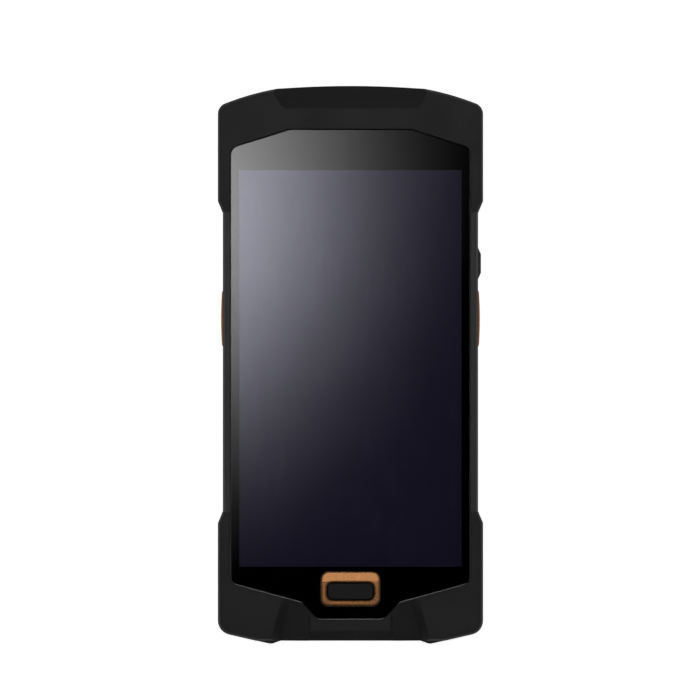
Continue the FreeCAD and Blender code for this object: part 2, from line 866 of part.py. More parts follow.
def slab_across(name, half_length, half_height, level):
    """A round-ended opening through the bottom end wall."""
    line = both_sides([
        (half_length, "%s - (%s)" % (level, half_height)),
        (half_length, "%s + (%s)" % (level, half_height)),
    ])
    sketch = cross_section(name + "_line", line, INNER_BOTTOM + " + cutter_reach")
    solid = doc.addObject("Part::Extrusion", name)
    solid.Base = sketch
    solid.DirMode = "Custom"
    solid.Dir = FreeCAD.Vector(0, -1, 0)
    solid.Solid = True
    return bind(solid, LengthFwd="2 * cutter_reach + side_wall + 2 * end_wall_bottom")


def across(side, low, high):
    """An interval on X, on the left or on the right."""
    return (low, high) if side == "" else ("-(%s)" % high, "-(%s)" % low)


def key_span(kind, margin):
    """A side key's extent along Y and Z with a margin all round."""
    return (
        ("{0}_y - {0}_length / 2 - ({1})".format(kind, margin),
         "{0}_y + {0}_length / 2 + ({1})".format(kind, margin)),
        ("side_key_level - {0}_height / 2 - ({1})".format(kind, margin),
         "side_key_level + {0}_height / 2 + ({1})".format(kind, margin)),
    )


def key_board_reach(side):
    """How far a side key's board runs along Y."""
    low = "scan_key_y - scan_key_length / 2 - side_board_margin"
    if side == "":
        return low, "power_key_y + power_key_length / 2 + side_board_margin"
    return low, "scan_key_y + scan_key_length / 2 + side_board_margin"


def housing_additions():
    """Bay, bosses, standoffs, ribs and cradles moulded on the floor of the housing."""
    bay = block("bay_outside",
                ("-%s - bay_wall" % BAY_HALF, BAY_HALF + " + bay_wall"),
                (BAY_BOTTOM + " - bay_wall", BAY_TOP + " + bay_wall"),
                (FLOOR_TOP + " - floor_wall / 2", BOARD_LOW))
    items = [bay]
    for x, y in screw_places():
        items.append(rod("housing_boss", x, y, FLOOR + " + floor_wall / 2", CHASSIS_LOW, "boss_radius"))
    for x, y in standoff_places():
        items.append(rod("standoff", x, y, FLOOR + " + floor_wall / 2", BOARD_LOW, "standoff_radius"))
    for name, side in SIDES:
        items.append(block(name + "_rib",
                           across(side, BAY_HALF + " + bay_wall / 2", KEY_BOARD_BACK),
                           key_board_reach(side),
                           (FLOOR + " + floor_wall / 2", BOARD_LOW)))
    items.append(block("engine_cradle",
                       ("-engine_half", "engine_half"),
                       (ENGINE_FRONT + " - engine_depth", ENGINE_FRONT),
                       (FLOOR + " + floor_wall / 2", ENGINE_LOW)))
    items.append(rod("camera_cradle", "camera_x", "camera_y", FLOOR + " + floor_wall / 2",
                     FLOOR_TOP + " + camera_cradle_height", "camera_cradle_radius"))
    items.append(rod("camera_ring", "camera_x", "camera_y", FLOOR + " - camera_ring_height",
                     FLOOR + " + floor_wall / 2", "camera_window_radius + lens_gap + camera_ring_width"))
    items.append(block("motor_cradle",
                       ("motor_x - motor_length / 2", "motor_x + motor_length / 2"),
                       ("-motor_y - motor_radius", "-motor_y + motor_radius"),
                       (FLOOR + " + floor_wall / 2", MOTOR_LEVEL + " - motor_radius / 2")))
    return items


def housing_openings():
    """Everything that is cut through the housing after its inside is moulded."""
    through = (FLOOR + " - cutter_reach", FLOOR_TOP + " + cutter_reach")
    items = [
        block("bay_inside", ("-" + BAY_HALF, BAY_HALF), (BAY_BOTTOM, BAY_TOP),
              (FLOOR + " - cutter_reach", CEILING_LOW)),
        block("door_opening",
              ("-%s - door_gap" % DOOR_HALF, DOOR_HALF + " + door_gap"),
              (DOOR_BOTTOM + " - door_gap", DOOR_TOP + " + door_gap"),
              (FLOOR + " - cutter_reach", FLOOR_TOP)),
        block("finger_notch", ("-notch_half", "notch_half"),
              (DOOR_BOTTOM + " - notch_reach", DOOR_BOTTOM),
              (FLOOR + " - cutter_reach", FLOOR + " + notch_depth")),
        block("contact_window", ("-contact_block_half", "contact_block_half"),
              (BAY_TOP + " - cutter_reach / 2", BAY_TOP + " + bay_wall + battery_gap"),
              (FLOOR_TOP, FLOOR_TOP + " + contact_block_height + battery_gap")),
        rod("camera_sight", "camera_x", "camera_y", FLOOR + " - cutter_reach",
            FLOOR_TOP + " + 2 * camera_cradle_height", "camera_sight_radius"),
        rod("camera_counterbore", "camera_x", "camera_y", FLOOR + " - cutter_reach",
            FLOOR + " + camera_window_thickness", "camera_window_radius + lens_gap"),
        rod("flash_bore", "flash_x", "camera_y", through[0], through[1], "flash_radius + lens_gap"),
        card_slot("housing_slot", "card_gap"),
        slab_across("housing_port", "usb_half + lens_gap", "usb_height / 2 + lens_gap", USB_LEVEL),
        block("housing_window",
              ("-window_half + window_rim", "window_half - window_rim"),
              (INNER_TOP + " - cutter_reach", TOP_FACE + " + cutter_reach"),
              ("%s - window_height / 2 + window_rim" % ENGINE_LEVEL,
               "%s + window_height / 2 - window_rim" % ENGINE_LEVEL)),
        lying_rod("motor_groove", "x",
                  ("motor_x - motor_length", "-motor_y", MOTOR_LEVEL),
                  "2 * motor_length", "motor_radius + screw_gap"),
    ]
    for side in ("", "-"):
        items.append(block("tab_slot",
                           across(side, "door_tab_place - door_tab_half - battery_gap",
                                  "door_tab_place + door_tab_half + battery_gap"),
                           (BAY_TOP + " - cutter_reach / 2", DOOR_TOP + " + 2 * door_tab_reach"),
                           (FLOOR_TOP, FLOOR_TOP + " + 2 * door_tab_reach")))
    for name, side, kind in SIDE_KEYS:
        y, z = key_span(kind, "side_key_gap")
        items.append(block(name + "_hole",
                           across(side, KEY_WALL + " - cutter_reach / 2", HALF + " + cutter_reach"), y, z))
    for x, y in screw_places():
        items.append(rod("screw_bore", x, y, FLOOR + " - cutter_reach", CHASSIS_LOW + " + cutter_reach",
                         "screw_radius + screw_gap"))
        items.append(rod("screw_counterbore", x, y, FLOOR + " - cutter_reach",
                         FLOOR + " + screw_recess + screw_head_height", "screw_head_radius + screw_gap"))
    for x, y in standoff_places():
        items.append(rod("standoff_bore", x, y, BOARD_TOP + " - board_thickness - board_screw_depth",
                         BOARD_TOP, "board_screw_radius + screw_gap"))
    return items + grille_holes()


def grille_holes():
    """Two rows of small round holes over the speaker."""
    middle = "-(speaker_high + speaker_low) / 2"
    holes = []
    for row in (-1, 0, 1):
        for column in range(-3, 4):
            holes.append(rod("grille_hole", "-speaker_x + %d * grille_pitch" % column,
                             "%s + %d * grille_pitch" % (middle, row),
                             FLOOR + " - cutter_reach", FLOOR_TOP + " + mesh_thickness / 2",
                             "grille_hole_radius"))
    return holes


def rear_housing(envelope):
    """The back moulding: an open tray with the battery bay and all seats for the inside."""
    below = block("below_split", ("-body_width", "body_width"), ("-total_length", "total_length"),
                  ("0", "split_height"))
    lower = common("lower_shell", [envelope, below])
    inside = slab("housing_inside", BODY_LINE, FLOOR_TOP, "split_height + cutter_reach",
                  grow="-side_wall")
    tray = cut("housing_tray", lower, [inside])
    moulded = fuse("housing_moulded", [tray] + housing_additions())
    return node(cut("housing_cut", moulded, housing_openings()), "rear_housing")


def battery_cover():
    """The door over the battery: a plate with two hooks at its top edge."""
    plate = block("door_plate", ("-" + DOOR_HALF, DOOR_HALF), (DOOR_BOTTOM, DOOR_TOP),
                  (FLOOR, FLOOR_TOP))
    hooks = []
    for side in ("", "-"):
        x = across(side, "door_tab_place - door_tab_half", "door_tab_place + door_tab_half")
        tab_top = FLOOR_TOP + " + door_tab_gap + door_tab_thickness"
        hooks.append(block("hook_foot", x, (BAY_TOP, DOOR_TOP),
                           (FLOOR_TOP + " - floor_wall / 2", tab_top)))
        hooks.append(block("hook_tab", x, (BAY_TOP, DOOR_TOP + " + door_tab_reach"),
                           (FLOOR_TOP + " + door_tab_gap", tab_top)))
    return node(fuse("door_hooked", [plate] + hooks), "battery_cover")


def battery_pack():
    """The cell block with its rounded long edges."""
    cell = block("cell", ("-battery_half", "battery_half"), ("-battery_bottom", "battery_top"),
                 (FLOOR_TOP + " + battery_gap", FLOOR_TOP + " + battery_gap + battery_thickness"))
    return node(dress("cell_rounded", "Fillet", cell, [
        (lambda box: box.XLength < NEAR and box.ZLength < NEAR, "cell_round"),
        (upright, "cell_round"),
    ]), "battery_pack")


def ring_hole(name, low, high, margin):
    """The opening for the key's ring, a margin wider than the ring."""
    return slab(name, home_outline("ring_length + 2 * %s" % margin, "ring_width + 2 * %s" % margin),
                low, high, corner="ring_round")


def cover_glass():
    """The front glass with its sloped shoulders, its tongue and the opening for the key."""
    plate = slab("glass_plate", GLASS_LINE, GLASS_LOW, GLASS_TOP, corner="glass_corner_round")
    pierced = cut("glass_pierced", plate,
                  [ring_hole("glass_key_hole", GLASS_LOW + " - cutter_reach",
                             GLASS_TOP + " + cutter_reach", "ring_gap")])
    doc.recompute()
    level = value(GLASS_TOP)
    low = value("-home_y - ring_width / 2 - ring_gap") - NEAR
    high = value("-home_y + ring_width / 2 + ring_gap") + NEAR

    def outer(box):
        return at_level(box, level) and not (box.YMin > low and box.YMax < high)

    return node(dress("glass_edged", "Chamfer", pierced, [(outer, "glass_edge")]), "cover_glass")


def glass_gasket():
    """The adhesive seal between the seat and the glass."""
    sheet_piece = slab("gasket_sheet", GLASS_LINE, SEAT, GLASS_LOW,
                       grow="-gasket_inset", corner="glass_corner_round")
    display = block("gasket_display",
                    ("-active_half - display_border - display_gap",
                     "active_half + display_border + display_gap"),
                    ("-active_bottom - display_foot - display_gap",
                     "active_top + display_border + display_gap"),
                    (SEAT + " - cutter_reach", GLASS_LOW + " + cutter_reach"))
    ring = ring_hole("gasket_key_hole", SEAT + " - cutter_reach", GLASS_LOW + " + cutter_reach",
                     "(2 * ring_gap)")
    return node(cut("gasket_frame", sheet_piece, [display, ring]), "glass_gasket")


def display_layer(name, low, high):
    return node(block(name,
                      ("-active_half - display_border", "active_half + display_border"),
                      ("-active_bottom - display_foot", "active_top + display_border"),
                      (low, high)), name)


def chassis_plate():
    """The stamped plate that carries the display and closes over the boards."""
    plate = slab("chassis_sheet", BODY_LINE, CHASSIS_LOW, CHASSIS_TOP,
                 grow="-side_wall - side_key_gap")
    holes = [
        rod("chassis_hole", x, y, CHASSIS_LOW + " - cutter_reach", CHASSIS_TOP + " + cutter_reach",
            "screw_radius + 3 * screw_gap")
        for x, y in screw_places()
    ]
    return node(cut("chassis_pierced", plate, holes), "chassis_plate")


def home_key_ring():
    """The coloured ring round the key, with bevelled edges and a brow that slopes away."""
    top = GLASS_TOP + " + ring_proud"
    outer = ring_hole("ring_outer", SEAT, top, "0")
    inner = slab("ring_inner", key_outline("0"), SEAT + " - cutter_reach", top + " + cutter_reach",
                 corner="ring_round - ring_bevel - home_key_gap")
    band = cut("ring_band", outer, [inner])
    level = value(top)
    doc.recompute()
    bevelled = dress("ring_bevelled", "Chamfer", band, [
        (lambda box: at_level(box, level), "ring_bevel"),
    ])
    edge = "-home_y + ring_width / 2"
    slope = loft("ring_slope", [
        cross_section("ring_slope_start", ring_slope_outline(top),
                      edge + " - ring_wall - ring_brow + ring_bevel"),
        cross_section("ring_slope_end", ring_slope_outline(top + " - ring_brow_drop"), edge),
    ])
    return node(cut("ring_sloped", bevelled, [slope]), "home_key_ring")


def ring_slope_outline(low):
    """A section over the ring from a level up."""
    return both_sides([("ring_length", low), ("ring_length", "2 * thickness")])


def new_body(name):
    return doc.addObject("PartDesign::Body", name)


def origin_plane(body, role):
    return [item for item in body.Origin.OriginFeatures if item.Role == role][0]


def body_sketch(body, name, role, level, points):
    """A sketch on one of the body's own origin planes, at a level along its normal."""
    sketch = body.newObject("Sketcher::SketchObject", name)
    sketch.AttachmentSupport = [(origin_plane(body, role), "")]
    sketch.MapMode = "FlatFace"
    bind(sketch, **{"AttachmentOffset.Base.z": level})
    return draw(sketch, points)


def pad(body, sketch, length, reverse=False):
    feature = body.newObject("PartDesign::Pad", sketch.Name + "_pad")
    feature.Profile = sketch
    feature.Reversed = reverse
    bind(feature, Length=length)
    doc.recompute()
    return feature


def body_dress(body, kind, base, test, size):
    """A fillet or chamfer inside a body, on the edges that a test picks."""
    names = [
        "Edge%d" % number
        for number, edge in enumerate(base.Shape.Edges, start=1)
        if test(edge.BoundBox)
    ]
    feature = body.newObject("PartDesign::" + kind, base.Name + "_" + kind.lower())
    feature.Base = (base, names)
    bind(feature, **{"Radius" if kind == "Fillet" else "Size": size})
    doc.recompute()
    return feature


def home_key():
    """The dark key in the ring: a rounded cap with a flange that holds it from below."""
    body = new_body("home_key_body")
    flange_low = SEAT_LOW + " - home_key_flange"
    cap_top = GLASS_TOP + " + ring_proud - home_key_drop"
    flange = body_sketch(body, "home_flange", "XY_Plane", flange_low, key_outline("home_flange_lip"))
    pad(body, flange, "home_key_flange")
    cap = body_sketch(body, "home_cap", "XY_Plane", flange_low, key_outline("-home_key_gap"))
    capped = pad(body, cap, "(%s) - (%s)" % (cap_top, flange_low))
    top = capped.Shape.BoundBox.ZMax
    low = value("home_key_flange")
    rounded = body_dress(body, "Fillet", capped,
                         lambda box: upright(box) and box.ZMax > top - NEAR, "home_key_round")
    body_dress(body, "Fillet", rounded,
               lambda box: at_level(box, top), "home_key_face_round")
    return node(body, "home_key")


def home_key_board():
    return node(block("home_key_board",
                      ("-home_board_length / 2", "home_board_length / 2"),
                      ("-home_y - home_board_width / 2", "-home_y + home_board_width / 2"),
                      (CHASSIS_TOP, CHASSIS_TOP + " + home_board_thickness")), "home_key_board")


def home_key_switch():
    """A round metal dome under the key."""
    low = CHASSIS_TOP + " + home_board_thickness"
    base = rod("dome_base", "0", "-home_y", low, low + " + home_switch_height / 2", "home_switch_radius")
    crown = rod("dome_crown", "0", "-home_y", low, low + " + home_switch_height",
                "home_switch_radius / 2")
    return node(fuse("dome", [base, crown]), "home_key_switch")


def side_key(label, side, kind):
    """A side key: a rounded cap through the wall and a flange behind it."""
    body = new_body(label + "_body")
    y, z = key_span(kind, "0")
    wide_y, wide_z = key_span(kind, "side_key_gap + side_flange_lip")
    sign = "-" if side else ""
    start = "%s(%s)" % (sign, FLANGE_BACK)
    flange = body_sketch(body, label + "_flange", "YZ_Plane", start,
                         [(wide_y[0], wide_z[0]), (wide_y[1], wide_z[0]),
                          (wide_y[1], wide_z[1]), (wide_y[0], wide_z[1])])
    pad(body, flange, "side_key_flange", reverse=bool(side))
    cap = body_sketch(body, label + "_cap", "YZ_Plane", start,
                      [(y[0], z[0]), (y[1], z[0]), (y[1], z[1]), (y[0], z[1])])
    capped = pad(body, cap, "%s + %s_proud - %s" % (HALF, kind, FLANGE_BACK), reverse=bool(side))
    face = capped.Shape.BoundBox.XMin if side else capped.Shape.BoundBox.XMax

    def along_x(box):
        reaches = abs((box.XMin if side else box.XMax) - face) < NEAR
        return box.YLength < NEAR and box.ZLength < NEAR and reaches

    body_dress(body, "Fillet", capped, along_x, "side_key_round")
    form = bowed_form if kind == "scan_key" else sloped_form
    shaped = common(label + "_shaped", [body, form(label, side, wide_y, wide_z)])
    wall = value(HALF)

    def outer(box):
        return (-box.XMax if side else box.XMin) > wall - NEAR

    return node(dress(label + "_edged", "Fillet", shaped, [(outer, "side_key_face_round")]), label)


def bowed_form(label, side, wide_y, wide_z):
    """The long outward bow of a scan key."""
    return rod(label + "_bow", "%s(%s + scan_key_proud - scan_key_bow)" % (side, HALF), "scan_key_y",
               wide_z[0], wide_z[1], "scan_key_bow")


def sloped_form(label, side, wide_y, wide_z):
    """The power key's outline, with a slope at both ends."""
    low, high = key_span("power_key", "0")[0]
    points = [
        (FLANGE_BACK, wide_y[0]),
        (KEY_WALL, wide_y[0]),
        (HALF, low),
        (HALF + " + power_key_proud", low + " + power_key_slope"),
        (HALF + " + power_key_proud", high + " - power_key_slope"),
        (HALF, high),
        (KEY_WALL, wide_y[1]),
        (FLANGE_BACK, wide_y[1]),
    ]
    return slab(label + "_form", [("%s(%s)" % (side, x), y) for x, y in points],
                wide_z[0], wide_z[1])


def side_key_board(name, side):
    """The small board on edge that carries the switches of one side."""
    return node(block(name + "_board", across(side, KEY_BOARD_BACK, SWITCH_BACK),
                      key_board_reach(side), (FLOOR_TOP, BOARD_LOW + " + board_thickness")),
                name + "_key_board")


def side_switch(label, side, kind):
    """A tactile switch on the board behind a side key."""
    y = kind + "_y"
    case = block(label + "_case",
                 across(side, SWITCH_BACK, SWITCH_BACK + " + side_switch_body"),
                 (y + " - side_switch_half", y + " + side_switch_half"),
                 ("side_key_level - side_switch_half", "side_key_level + side_switch_half"))
    start = SWITCH_BACK if side == "" else "-(%s)" % SWITCH_FRONT
    plunger = lying_rod(label + "_plunger", "x", (start, y, "side_key_level"),
                        "side_switch_body + side_switch_plunger", "side_plunger_radius")
    return node(fuse(label + "_switch_solid", [case, plunger]), label.replace("_key", "_switch"))


def main_board():
    """The circuit board over the battery bay, notched round the scan engine."""
    line = both_sides([
        ("board_tail_half", INNER_BOTTOM + " + board_tail_gap"),
        ("board_tail_half", "-board_bottom"),
        ("board_half", "-board_bottom"),
        ("board_half", "board_top - board_corner"),
        ("board_half - 2 * board_corner", "board_top"),
        ("engine_notch_half", "board_top"),
        ("engine_notch_half", "engine_notch_y"),
    ])
    plate = slab("board_plate", line, BOARD_LOW, BOARD_TOP)
    holes = [
        rod("board_hole", x, y, BOARD_LOW + " - cutter_reach", BOARD_TOP + " + cutter_reach",
            "board_screw_radius + screw_gap")
        for x, y in standoff_places()
    ]
    return node(cut("board_drilled", plate, holes), "main_board")


def shield_cans():
    """Three folded metal covers over the chips, open to the board."""
    cans = []
    for number, (x, y) in enumerate((
        (("-board_half + can_edge", "-can_edge"), ("can_row_top", "can_row_top + can_deep")),
        (("-board_half + can_edge", "can_edge"), ("can_row_middle", "can_row_middle + can_wide")),
        (("-board_half + can_edge", "can_edge"), ("-can_row_low - can_wide", "-can_row_low")),
    )):
        outer = block("can_outer", x, y, (BOARD_TOP, CHASSIS_LOW))
        inner = block("can_inner",
                      (x[0] + " + can_thickness", x[1] + " - can_thickness"),
                      (y[0] + " + can_thickness", y[1] + " - can_thickness"),
                      (BOARD_TOP + " - cutter_reach", CHASSIS_LOW + " - can_thickness"))
        cans.append(cut("can_%d" % number, outer, [inner]))
    return node(compound("cans", cans), "shield_cans")


def sim_socket():
    return node(block("sim_socket",
                      ("board_half - can_edge - socket_length", "board_half - can_edge"),
                      ("can_row_middle", "can_row_middle + socket_width"),
                      (BOARD_TOP, CHASSIS_LOW)), "sim_socket")


def clock_cell():
    """The small round cell that keeps the clock."""
    return node(rod("clock_cell", "board_half - can_edge - cell_radius", "can_row_top + cell_radius",
                    BOARD_TOP, CHASSIS_LOW + " - can_thickness", "cell_radius"), "clock_cell")


def board_screws():
    """Four pan-head screws that hold the board on its standoffs."""
    screws = []
    for x, y in standoff_places():
        head = rod("board_screw_head", x, y, BOARD_TOP, BOARD_TOP + " + board_screw_head_height",
                   "board_screw_head")
        shank = rod("board_screw_shank", x, y,
                    BOARD_LOW + " - board_screw_depth + board_thickness", BOARD_TOP,
                    "board_screw_radius")
        screws.append(fuse("board_screw", [head, shank]))
    return node(compound("board_screw_set", screws), "board_screws")


def housing_screws():
    """Four long screws from the back, through the housing into the front frame."""
    low = FLOOR + " + screw_recess"
    screws = []
    for x, y in screw_places():
        head = rod("screw_head", x, y, low, low + " + screw_head_height", "screw_head_radius")
        shank = rod("screw_shank", x, y, low, low + " + screw_length", "screw_radius")
        drive = rod("screw_drive", x, y, low + " - cutter_reach",
                    low + " + screw_head_height / 2", "screw_head_radius / 2")
        screws.append(cut("housing_screw", fuse("screw_blank", [head, shank]), [drive]))
    return node(compound("housing_screw_set", screws), "housing_screws")


def battery_contacts():
    """The block of three sprung contacts at the top end of the bay."""
    back = BAY_TOP + " + bay_wall + battery_gap + contact_block_depth"
    front = BAY_TOP + " + bay_wall + battery_gap"
    case = block("contact_case", ("-contact_block_half", "contact_block_half"), (front, back),
                 (FLOOR_TOP, FLOOR_TOP + " + contact_block_height"))
    fingers = []
    for number in (-1, 0, 1):
        x = "%d * contact_pitch" % number
        fingers.append(block("contact_finger", (x + " - contact_half", x + " + contact_half"),
                             ("battery_top", front + " + contact_block_depth / 2"),
                             (FLOOR_TOP + " + contact_block_height / 2 - contact_half",
                              FLOOR_TOP + " + contact_block_height / 2 + contact_half")))
    return node(fuse("contact_set", [case] + fingers), "battery_contacts")


def card_reader():
    """The flat shell that guides a chip card, open at the bottom end."""
    half = "(card_width / 2 + card_gap + reader_wall)"
    mouth = "(%s + reader_mouth_gap)" % INNER_BOTTOM
    shell = block("reader_shell", ("-" + half, half), (mouth, mouth + " + reader_length"),
                  (FLOOR_TOP, FLOOR_TOP + " + reader_height"))
    slot = block("reader_slot",
                 ("-card_width / 2 - card_gap", "card_width / 2 + card_gap"),
                 (mouth + " - cutter_reach", mouth + " + reader_length - reader_wall"),
                 ("card_level - card_slot_height / 2", "card_level + card_slot_height / 2"))
    return node(cut("reader_guide", shell, [slot]), "card_reader")


def card_contacts():
    """Eight sprung contacts under the roof of the card guide, in two rows of four."""
    top = "card_level + card_slot_height / 2"
    blades = []
    for row in (0, 1):
        low = "%s + card_contact_depth + %d * (card_contact_length + card_gap)" % (INNER_BOTTOM, row)
        for number in range(4):
            x = "%d * card_contact_pitch / 2" % (2 * number - 3)
            blades.append(block("card_blade", (x + " - card_contact_half", x + " + card_contact_half"),
                                (low, low + " + card_contact_length"),
                                (top + " - card_contact_drop", top)))
    return node(compound("card_blades", blades), "card_contacts")


def usb_connector():
    """The charging socket under the tail of the board: a shell with a tongue."""
    mouth = INNER_BOTTOM + " + lens_gap"
    shell = block("usb_shell", ("-usb_half", "usb_half"), (mouth, mouth + " + usb_depth"),
                  (USB_LEVEL + " - usb_height / 2", USB_LEVEL + " + usb_height / 2"))
    doc.recompute()
    rounded = dress("usb_rounded", "Fillet", shell, [
        (lambda box: box.XLength < NEAR and box.ZLength < NEAR, "usb_round"),
    ])
    mouth_hole = block("usb_mouth", ("-usb_half + usb_shell", "usb_half - usb_shell"),
                       (mouth + " - cutter_reach", mouth + " + usb_depth - 2 * usb_shell"),
                       (USB_LEVEL + " - usb_height / 2 + usb_shell",
                        USB_LEVEL + " + usb_height / 2 - usb_shell"))
    mouth_round = dress("usb_mouth_rounded", "Fillet", mouth_hole, [
        (lambda box: box.XLength < NEAR and box.ZLength < NEAR, "usb_inner_round"),
    ])
    tongue = block("usb_tongue", ("-usb_tongue_half", "usb_tongue_half"),
                   (mouth + " + 2 * usb_shell", mouth + " + usb_depth - usb_shell"),
                   (USB_LEVEL + " - usb_tongue_thickness / 2", USB_LEVEL + " + usb_tongue_thickness / 2"))
    return node(fuse("usb_socket", [cut("usb_hollow", rounded, [mouth_round]), tongue]), "usb_connector")


def coil_layer(name, low, high):
    """A flat rectangular track round the camera."""
    outer = block(name + "_outer", ("-coil_half", "coil_half"), ("coil_low", "coil_high"), (low, high))
    inner = block(name + "_inner", ("-coil_half + coil_track", "coil_half - coil_track"),
                  ("coil_low + coil_track", "coil_high - coil_track"),
                  (low + " - cutter_reach", high + " + cutter_reach"))
    return node(cut(name + "_track", outer, [inner]), name)


def camera_module():
    seat = FLOOR_TOP + " + camera_cradle_height"
    case = block("camera_case", ("camera_x - camera_half", "camera_x + camera_half"),
                 ("camera_y - camera_half", "camera_y + camera_half"),
                 (seat, seat + " + camera_height"))
    barrel = rod("camera_barrel", "camera_x", "camera_y",
                 FLOOR + " + camera_window_thickness + lens_gap", seat + " + lens_gap",
                 "camera_barrel_radius")
    return node(fuse("camera_solid", [case, barrel]), "camera_module")


def camera_window():
    return node(rod("camera_pane", "camera_x", "camera_y", FLOOR,
                    FLOOR + " + camera_window_thickness", "camera_window_radius"), "camera_window")


def flash_lens():
    return node(rod("flash_pane", "flash_x", "camera_y", FLOOR, FLOOR_TOP, "flash_radius"),
                "flash_lens")


def flash_led():
    return node(block("flash_chip", ("flash_x - flash_led_half", "flash_x + flash_led_half"),
                      ("camera_y - flash_led_half", "camera_y + flash_led_half"),
                      (FLOOR_TOP, FLOOR_TOP + " + flash_led_height")), "flash_led")


def scan_engine():
    """The barcode imager on its cradle: a case with two lenses on its front."""
    case = block("engine_case", ("-engine_half", "engine_half"),
                 (ENGINE_FRONT + " - engine_depth", ENGINE_FRONT),
                 (ENGINE_LOW, ENGINE_LOW + " + engine_height"))
    start = ENGINE_FRONT + " - engine_lens_reach"
    lens = lying_rod("engine_lens", "y", ("-engine_lens_x", start, ENGINE_LEVEL),
                     "2 * engine_lens_reach", "engine_lens_radius")
    lamp = lying_rod("engine_lamp", "y", ("engine_lens_x", start, ENGINE_LEVEL),
                     "2 * engine_lens_reach", "engine_lamp_radius")
    return node(fuse("engine_solid", [case, lens, lamp]), "scan_engine")


def scan_window():
    return node(block("scan_pane", ("-window_half", "window_half"),
                      (TOP_FACE, TOP_FACE + " + window_thickness"),
                      (ENGINE_LEVEL + " - window_height / 2", ENGINE_LEVEL + " + window_height / 2")),
                "scan_window")


def speaker():
    low = FLOOR_TOP + " + mesh_thickness"
    return node(block("speaker_box", ("-speaker_x - speaker_half", "-speaker_x + speaker_half"),
                      ("-speaker_low", "-speaker_high"), (low, low + " + speaker_height")), "speaker")


def speaker_mesh():
    return node(block("speaker_cloth", ("-speaker_x - speaker_half", "-speaker_x + speaker_half"),
                      ("-speaker_low", "-speaker_high"),
                      (FLOOR_TOP, FLOOR_TOP + " + mesh_thickness")), "speaker_mesh")


def vibration_motor():
    """A small round motor in its cradle, with an off-centre weight on the shaft."""
    can = lying_rod("motor_can", "x", ("motor_x - motor_length / 2", "-motor_y", MOTOR_LEVEL),
                    "motor_length", "motor_radius")
    shaft = lying_rod("motor_shaft", "x",
                      ("motor_x + motor_length / 2 - battery_gap", "-motor_y", MOTOR_LEVEL),
                      "motor_weight_length + 3 * battery_gap", "motor_weight_radius / 4")
    weight = lying_rod("motor_weight", "x",
                       ("motor_x + motor_length / 2 + battery_gap", "-motor_y", MOTOR_LEVEL),
                       "motor_weight_length", "motor_weight_radius")
    half = block("motor_weight_half",
                 ("motor_x + motor_length / 2 + battery_gap", "motor_x + motor_length"),
                 ("-motor_y - motor_radius", "-motor_y + motor_radius"),
                 (MOTOR_LEVEL + " + motor_weight_radius / 4", MOTOR_LEVEL + " + motor_radius"))
    return node(fuse("motor_solid", [can, shaft, cut("motor_weight_cut", weight, [half])]),
                "vibration_motor")


def build():
    envelope = body_envelope()
    rim = rim_envelope()
    lip = lip_envelope()
    opening = glass_opening()
    front_frame(envelope, rim, lip, opening)
    rear_housing(envelope)
    top_bumper([envelope, rim, lip, opening])
    bottom_bumper([envelope, rim, lip, opening])
    battery_cover()
    battery_pack()
    cover_glass()
    glass_gasket()
    display_layer("display_panel", PANEL_LOW, GLASS_LOW)
    display_layer("display_backlight", CHASSIS_TOP, PANEL_LOW)
    chassis_plate()
    home_key_ring()
    home_key()
    home_key_board()
    home_key_switch()
    for label, side, kind in SIDE_KEYS:
        side_key(label, side, kind)
        side_switch(label, side, kind)
    for name, side in SIDES:
        side_key_board(name, side)
    main_board()
    shield_cans()
    sim_socket()
    clock_cell()
    board_screws()
    housing_screws()
    battery_contacts()
    card_reader()
    card_contacts()
    usb_connector()
    coil_layer("nfc_coil", FLOOR_TOP, FLOOR_TOP + " + coil_thickness")
    coil_layer("ferrite_sheet", FLOOR_TOP + " + coil_thickness",
               FLOOR_TOP + " + coil_thickness + ferrite_thickness")
    camera_module()
    camera_window()
    flash_lens()
    flash_led()
    scan_engine()
    scan_window()
    speaker()
    speaker_mesh()
    vibration_motor()
    doc.recompute()


def check():
    """Stop on a failed object or an unsound solid before anything is written."""
    for item in doc.Objects:
        if "Invalid" in item.State or "Error" in item.State:
            raise RuntimeError("failed object: " + item.Name)
    for item in NODES:
        if item.Shape.isNull() or not item.Shape.isValid():
            raise RuntimeError("unsound shape: " + item.Label)


def write():
    os.makedirs("parts", exist_ok=True)
    for item in NODES:
        item.Shape.exportStep("parts/%s.step" % item.Label)
        print(item.Label, len(item.Shape.Solids), round(item.Shape.Volume, 1))


if __name__ == "__main__":
    build()
    check()
    write()
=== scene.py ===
"""A slim handheld payment terminal, lying on its back on a white table and seen from straight above.

Places are in metres, in the frame of the solid parts: +X to the right of the screen, +Y towards the top end
and +Z out of the screen.
"""

import json
import math

